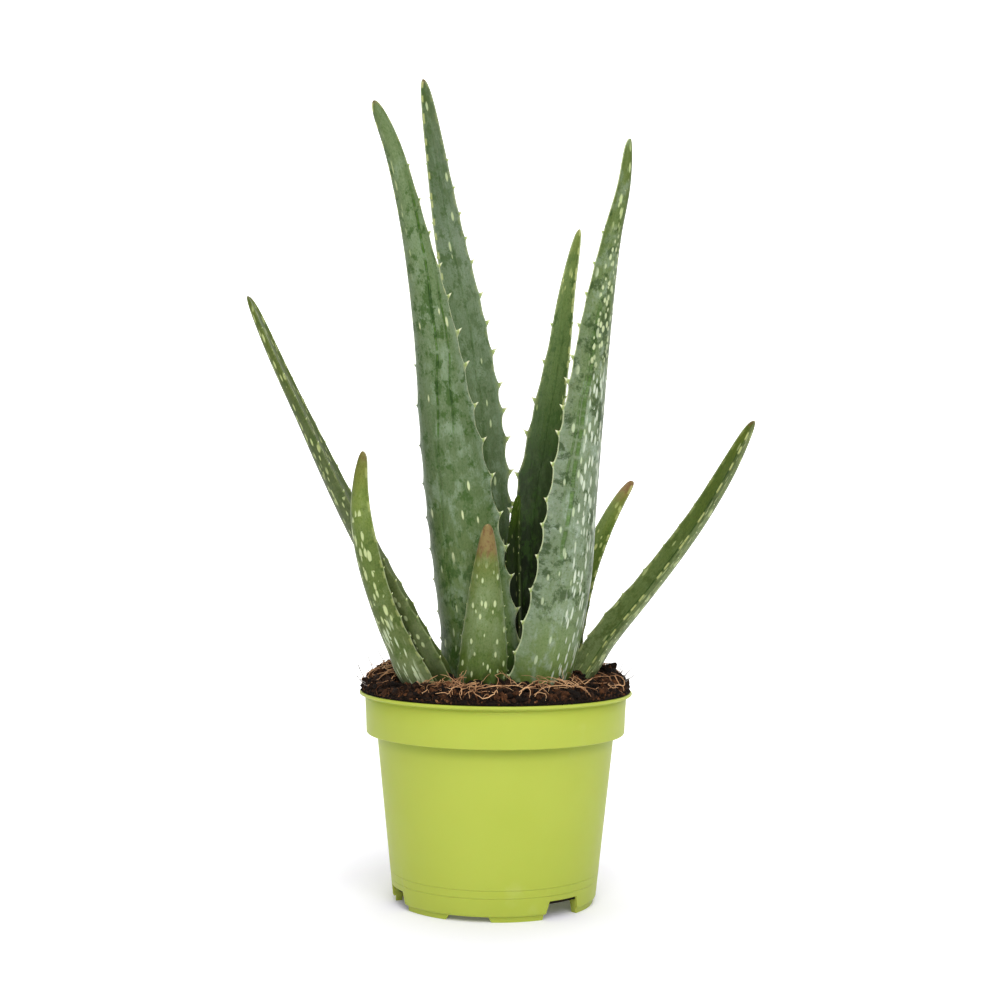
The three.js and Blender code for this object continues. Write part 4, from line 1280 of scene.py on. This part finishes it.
class ALOE_OT_stage(bpy.types.Operator):
    """Sets up the plain floor and backdrop, the soft studio light and the camera"""

    bl_idname = "aloe.stage"
    bl_label = "Stage"

    def execute(self, context):
        stage, scene = context.scene.aloe_stage, context.scene
        deselect_all()
        bpy.ops.mesh.primitive_plane_add(size=5)
        floor = context.object
        floor.name = "floor_and_backdrop"
        select_only(floor.data, "edges", lambda edge: all(
            floor.data.vertices[v].co.y > 0 for v in edge.vertices))
        bpy.ops.mesh.select_mode(type="EDGE")
        bpy.ops.mesh.extrude_region_move(TRANSFORM_OT_translate={"value": (0, 0, 3.0)})
        bpy.ops.object.mode_set(mode="OBJECT")
        bend = floor.modifiers.new("bend", "BEVEL")
        bend.width, bend.segments, bend.limit_method = 1.2, 24, "ANGLE"
        apply_modifiers(floor)
        bpy.ops.object.shade_smooth()
        floor.data.materials.append(paper(stage))
        floor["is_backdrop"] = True

        world = bpy.data.worlds.new("studio")
        world.use_nodes = True
        background = world.node_tree.nodes["Background"].inputs
        background[0].default_value, background[1].default_value = (1, 1, 1, 1), 0.3 * stage.light
        scene.world = world
        middle = (0, 0, 0.17)
        softbox("key_light", (0.3, -1.6, 1.55), middle, 1.6, 38 * stage.light)
        softbox("fill_light", (-1.3, -0.8, 0.9), middle, 0.9, 2 * stage.light)
        softbox("top_light", (0.0, 0.1, 2.3), middle, 1.8, 16 * stage.light)

        lens = bpy.data.cameras.new("camera")
        lens.sensor_width, lens.lens = 36, stage.lens
        lens.clip_start, lens.clip_end = 0.01, 20
        camera = bpy.data.objects.new("camera", lens)
        aside, pitch, roll = 0.00121, math.radians(0.51), math.radians(-0.45)
        ahead = Vector((0, math.cos(pitch), -math.sin(pitch)))
        level, upright = Vector((1, 0, 0)), Vector((0, math.sin(pitch), math.cos(pitch)))
        right = level * math.cos(roll) - upright * math.sin(roll)
        up = level * math.sin(roll) + upright * math.cos(roll)
        turn = Matrix((right, up, -ahead)).transposed().to_4x4()
        place = Matrix.Translation((aside, -stage.camera_distance, stage.camera_height))
        camera.matrix_world = place @ turn
        scene.collection.objects.link(camera)
        scene.camera = camera
        scene.view_settings.view_transform = "Standard"
        return {"FINISHED"}


# --- Panel and registration ---


class ALOE_PT_builder(bpy.types.Panel):
    """Lists the settings and the building steps"""

    bl_label = "Potted aloe"
    bl_idname = "ALOE_PT_builder"
    bl_space_type = "VIEW_3D"
    bl_region_type = "UI"
    bl_category = "Aloe"

    def draw(self, context):
        for name, settings in SETTINGS.items():
            box = self.layout.box()
            for key in settings.__annotations__:
                box.prop(getattr(context.scene, name), key)
        for step in STEPS:
            self.layout.operator(step.bl_idname)


SETTINGS = {
    "aloe_pot": AloePotSettings,
    "aloe_soil": AloeSoilSettings,
    "aloe_leaves": AloeLeafSettings,
    "aloe_stage": AloeStageSettings,
}
STEPS = (
    ALOE_OT_stage, ALOE_OT_pot, ALOE_OT_stem, ALOE_OT_leaves, ALOE_OT_soil, ALOE_OT_soil_crumbs,
    ALOE_OT_soil_fibres,
)


def register():
    for name, settings in SETTINGS.items():
        bpy.utils.register_class(settings)
        setattr(bpy.types.Scene, name, bpy.props.PointerProperty(type=settings))
    for step in (*STEPS, ALOE_PT_builder):
        bpy.utils.register_class(step)


def unregister():
    for step in (*STEPS, ALOE_PT_builder):
        bpy.utils.unregister_class(step)
    for name, settings in SETTINGS.items():
        delattr(bpy.types.Scene, name)
        bpy.utils.unregister_class(settings)


def corners(box):
    """A box's two corners as plain lists of numbers."""
    return [[float(c) for c in corner] for corner in box]


def main():
    register()
    bpy.ops.aloe.stage()
    bpy.ops.aloe.pot()
    bpy.ops.aloe.stem()
    bpy.ops.aloe.leaves()
    bpy.ops.aloe.soil()
    bpy.ops.aloe.soil_crumbs()
    bpy.ops.aloe.soil_fibres()
    {"cad": corners(CAD_BOX), "visual": corners(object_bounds())}


if __name__ == "__main__":
    main()
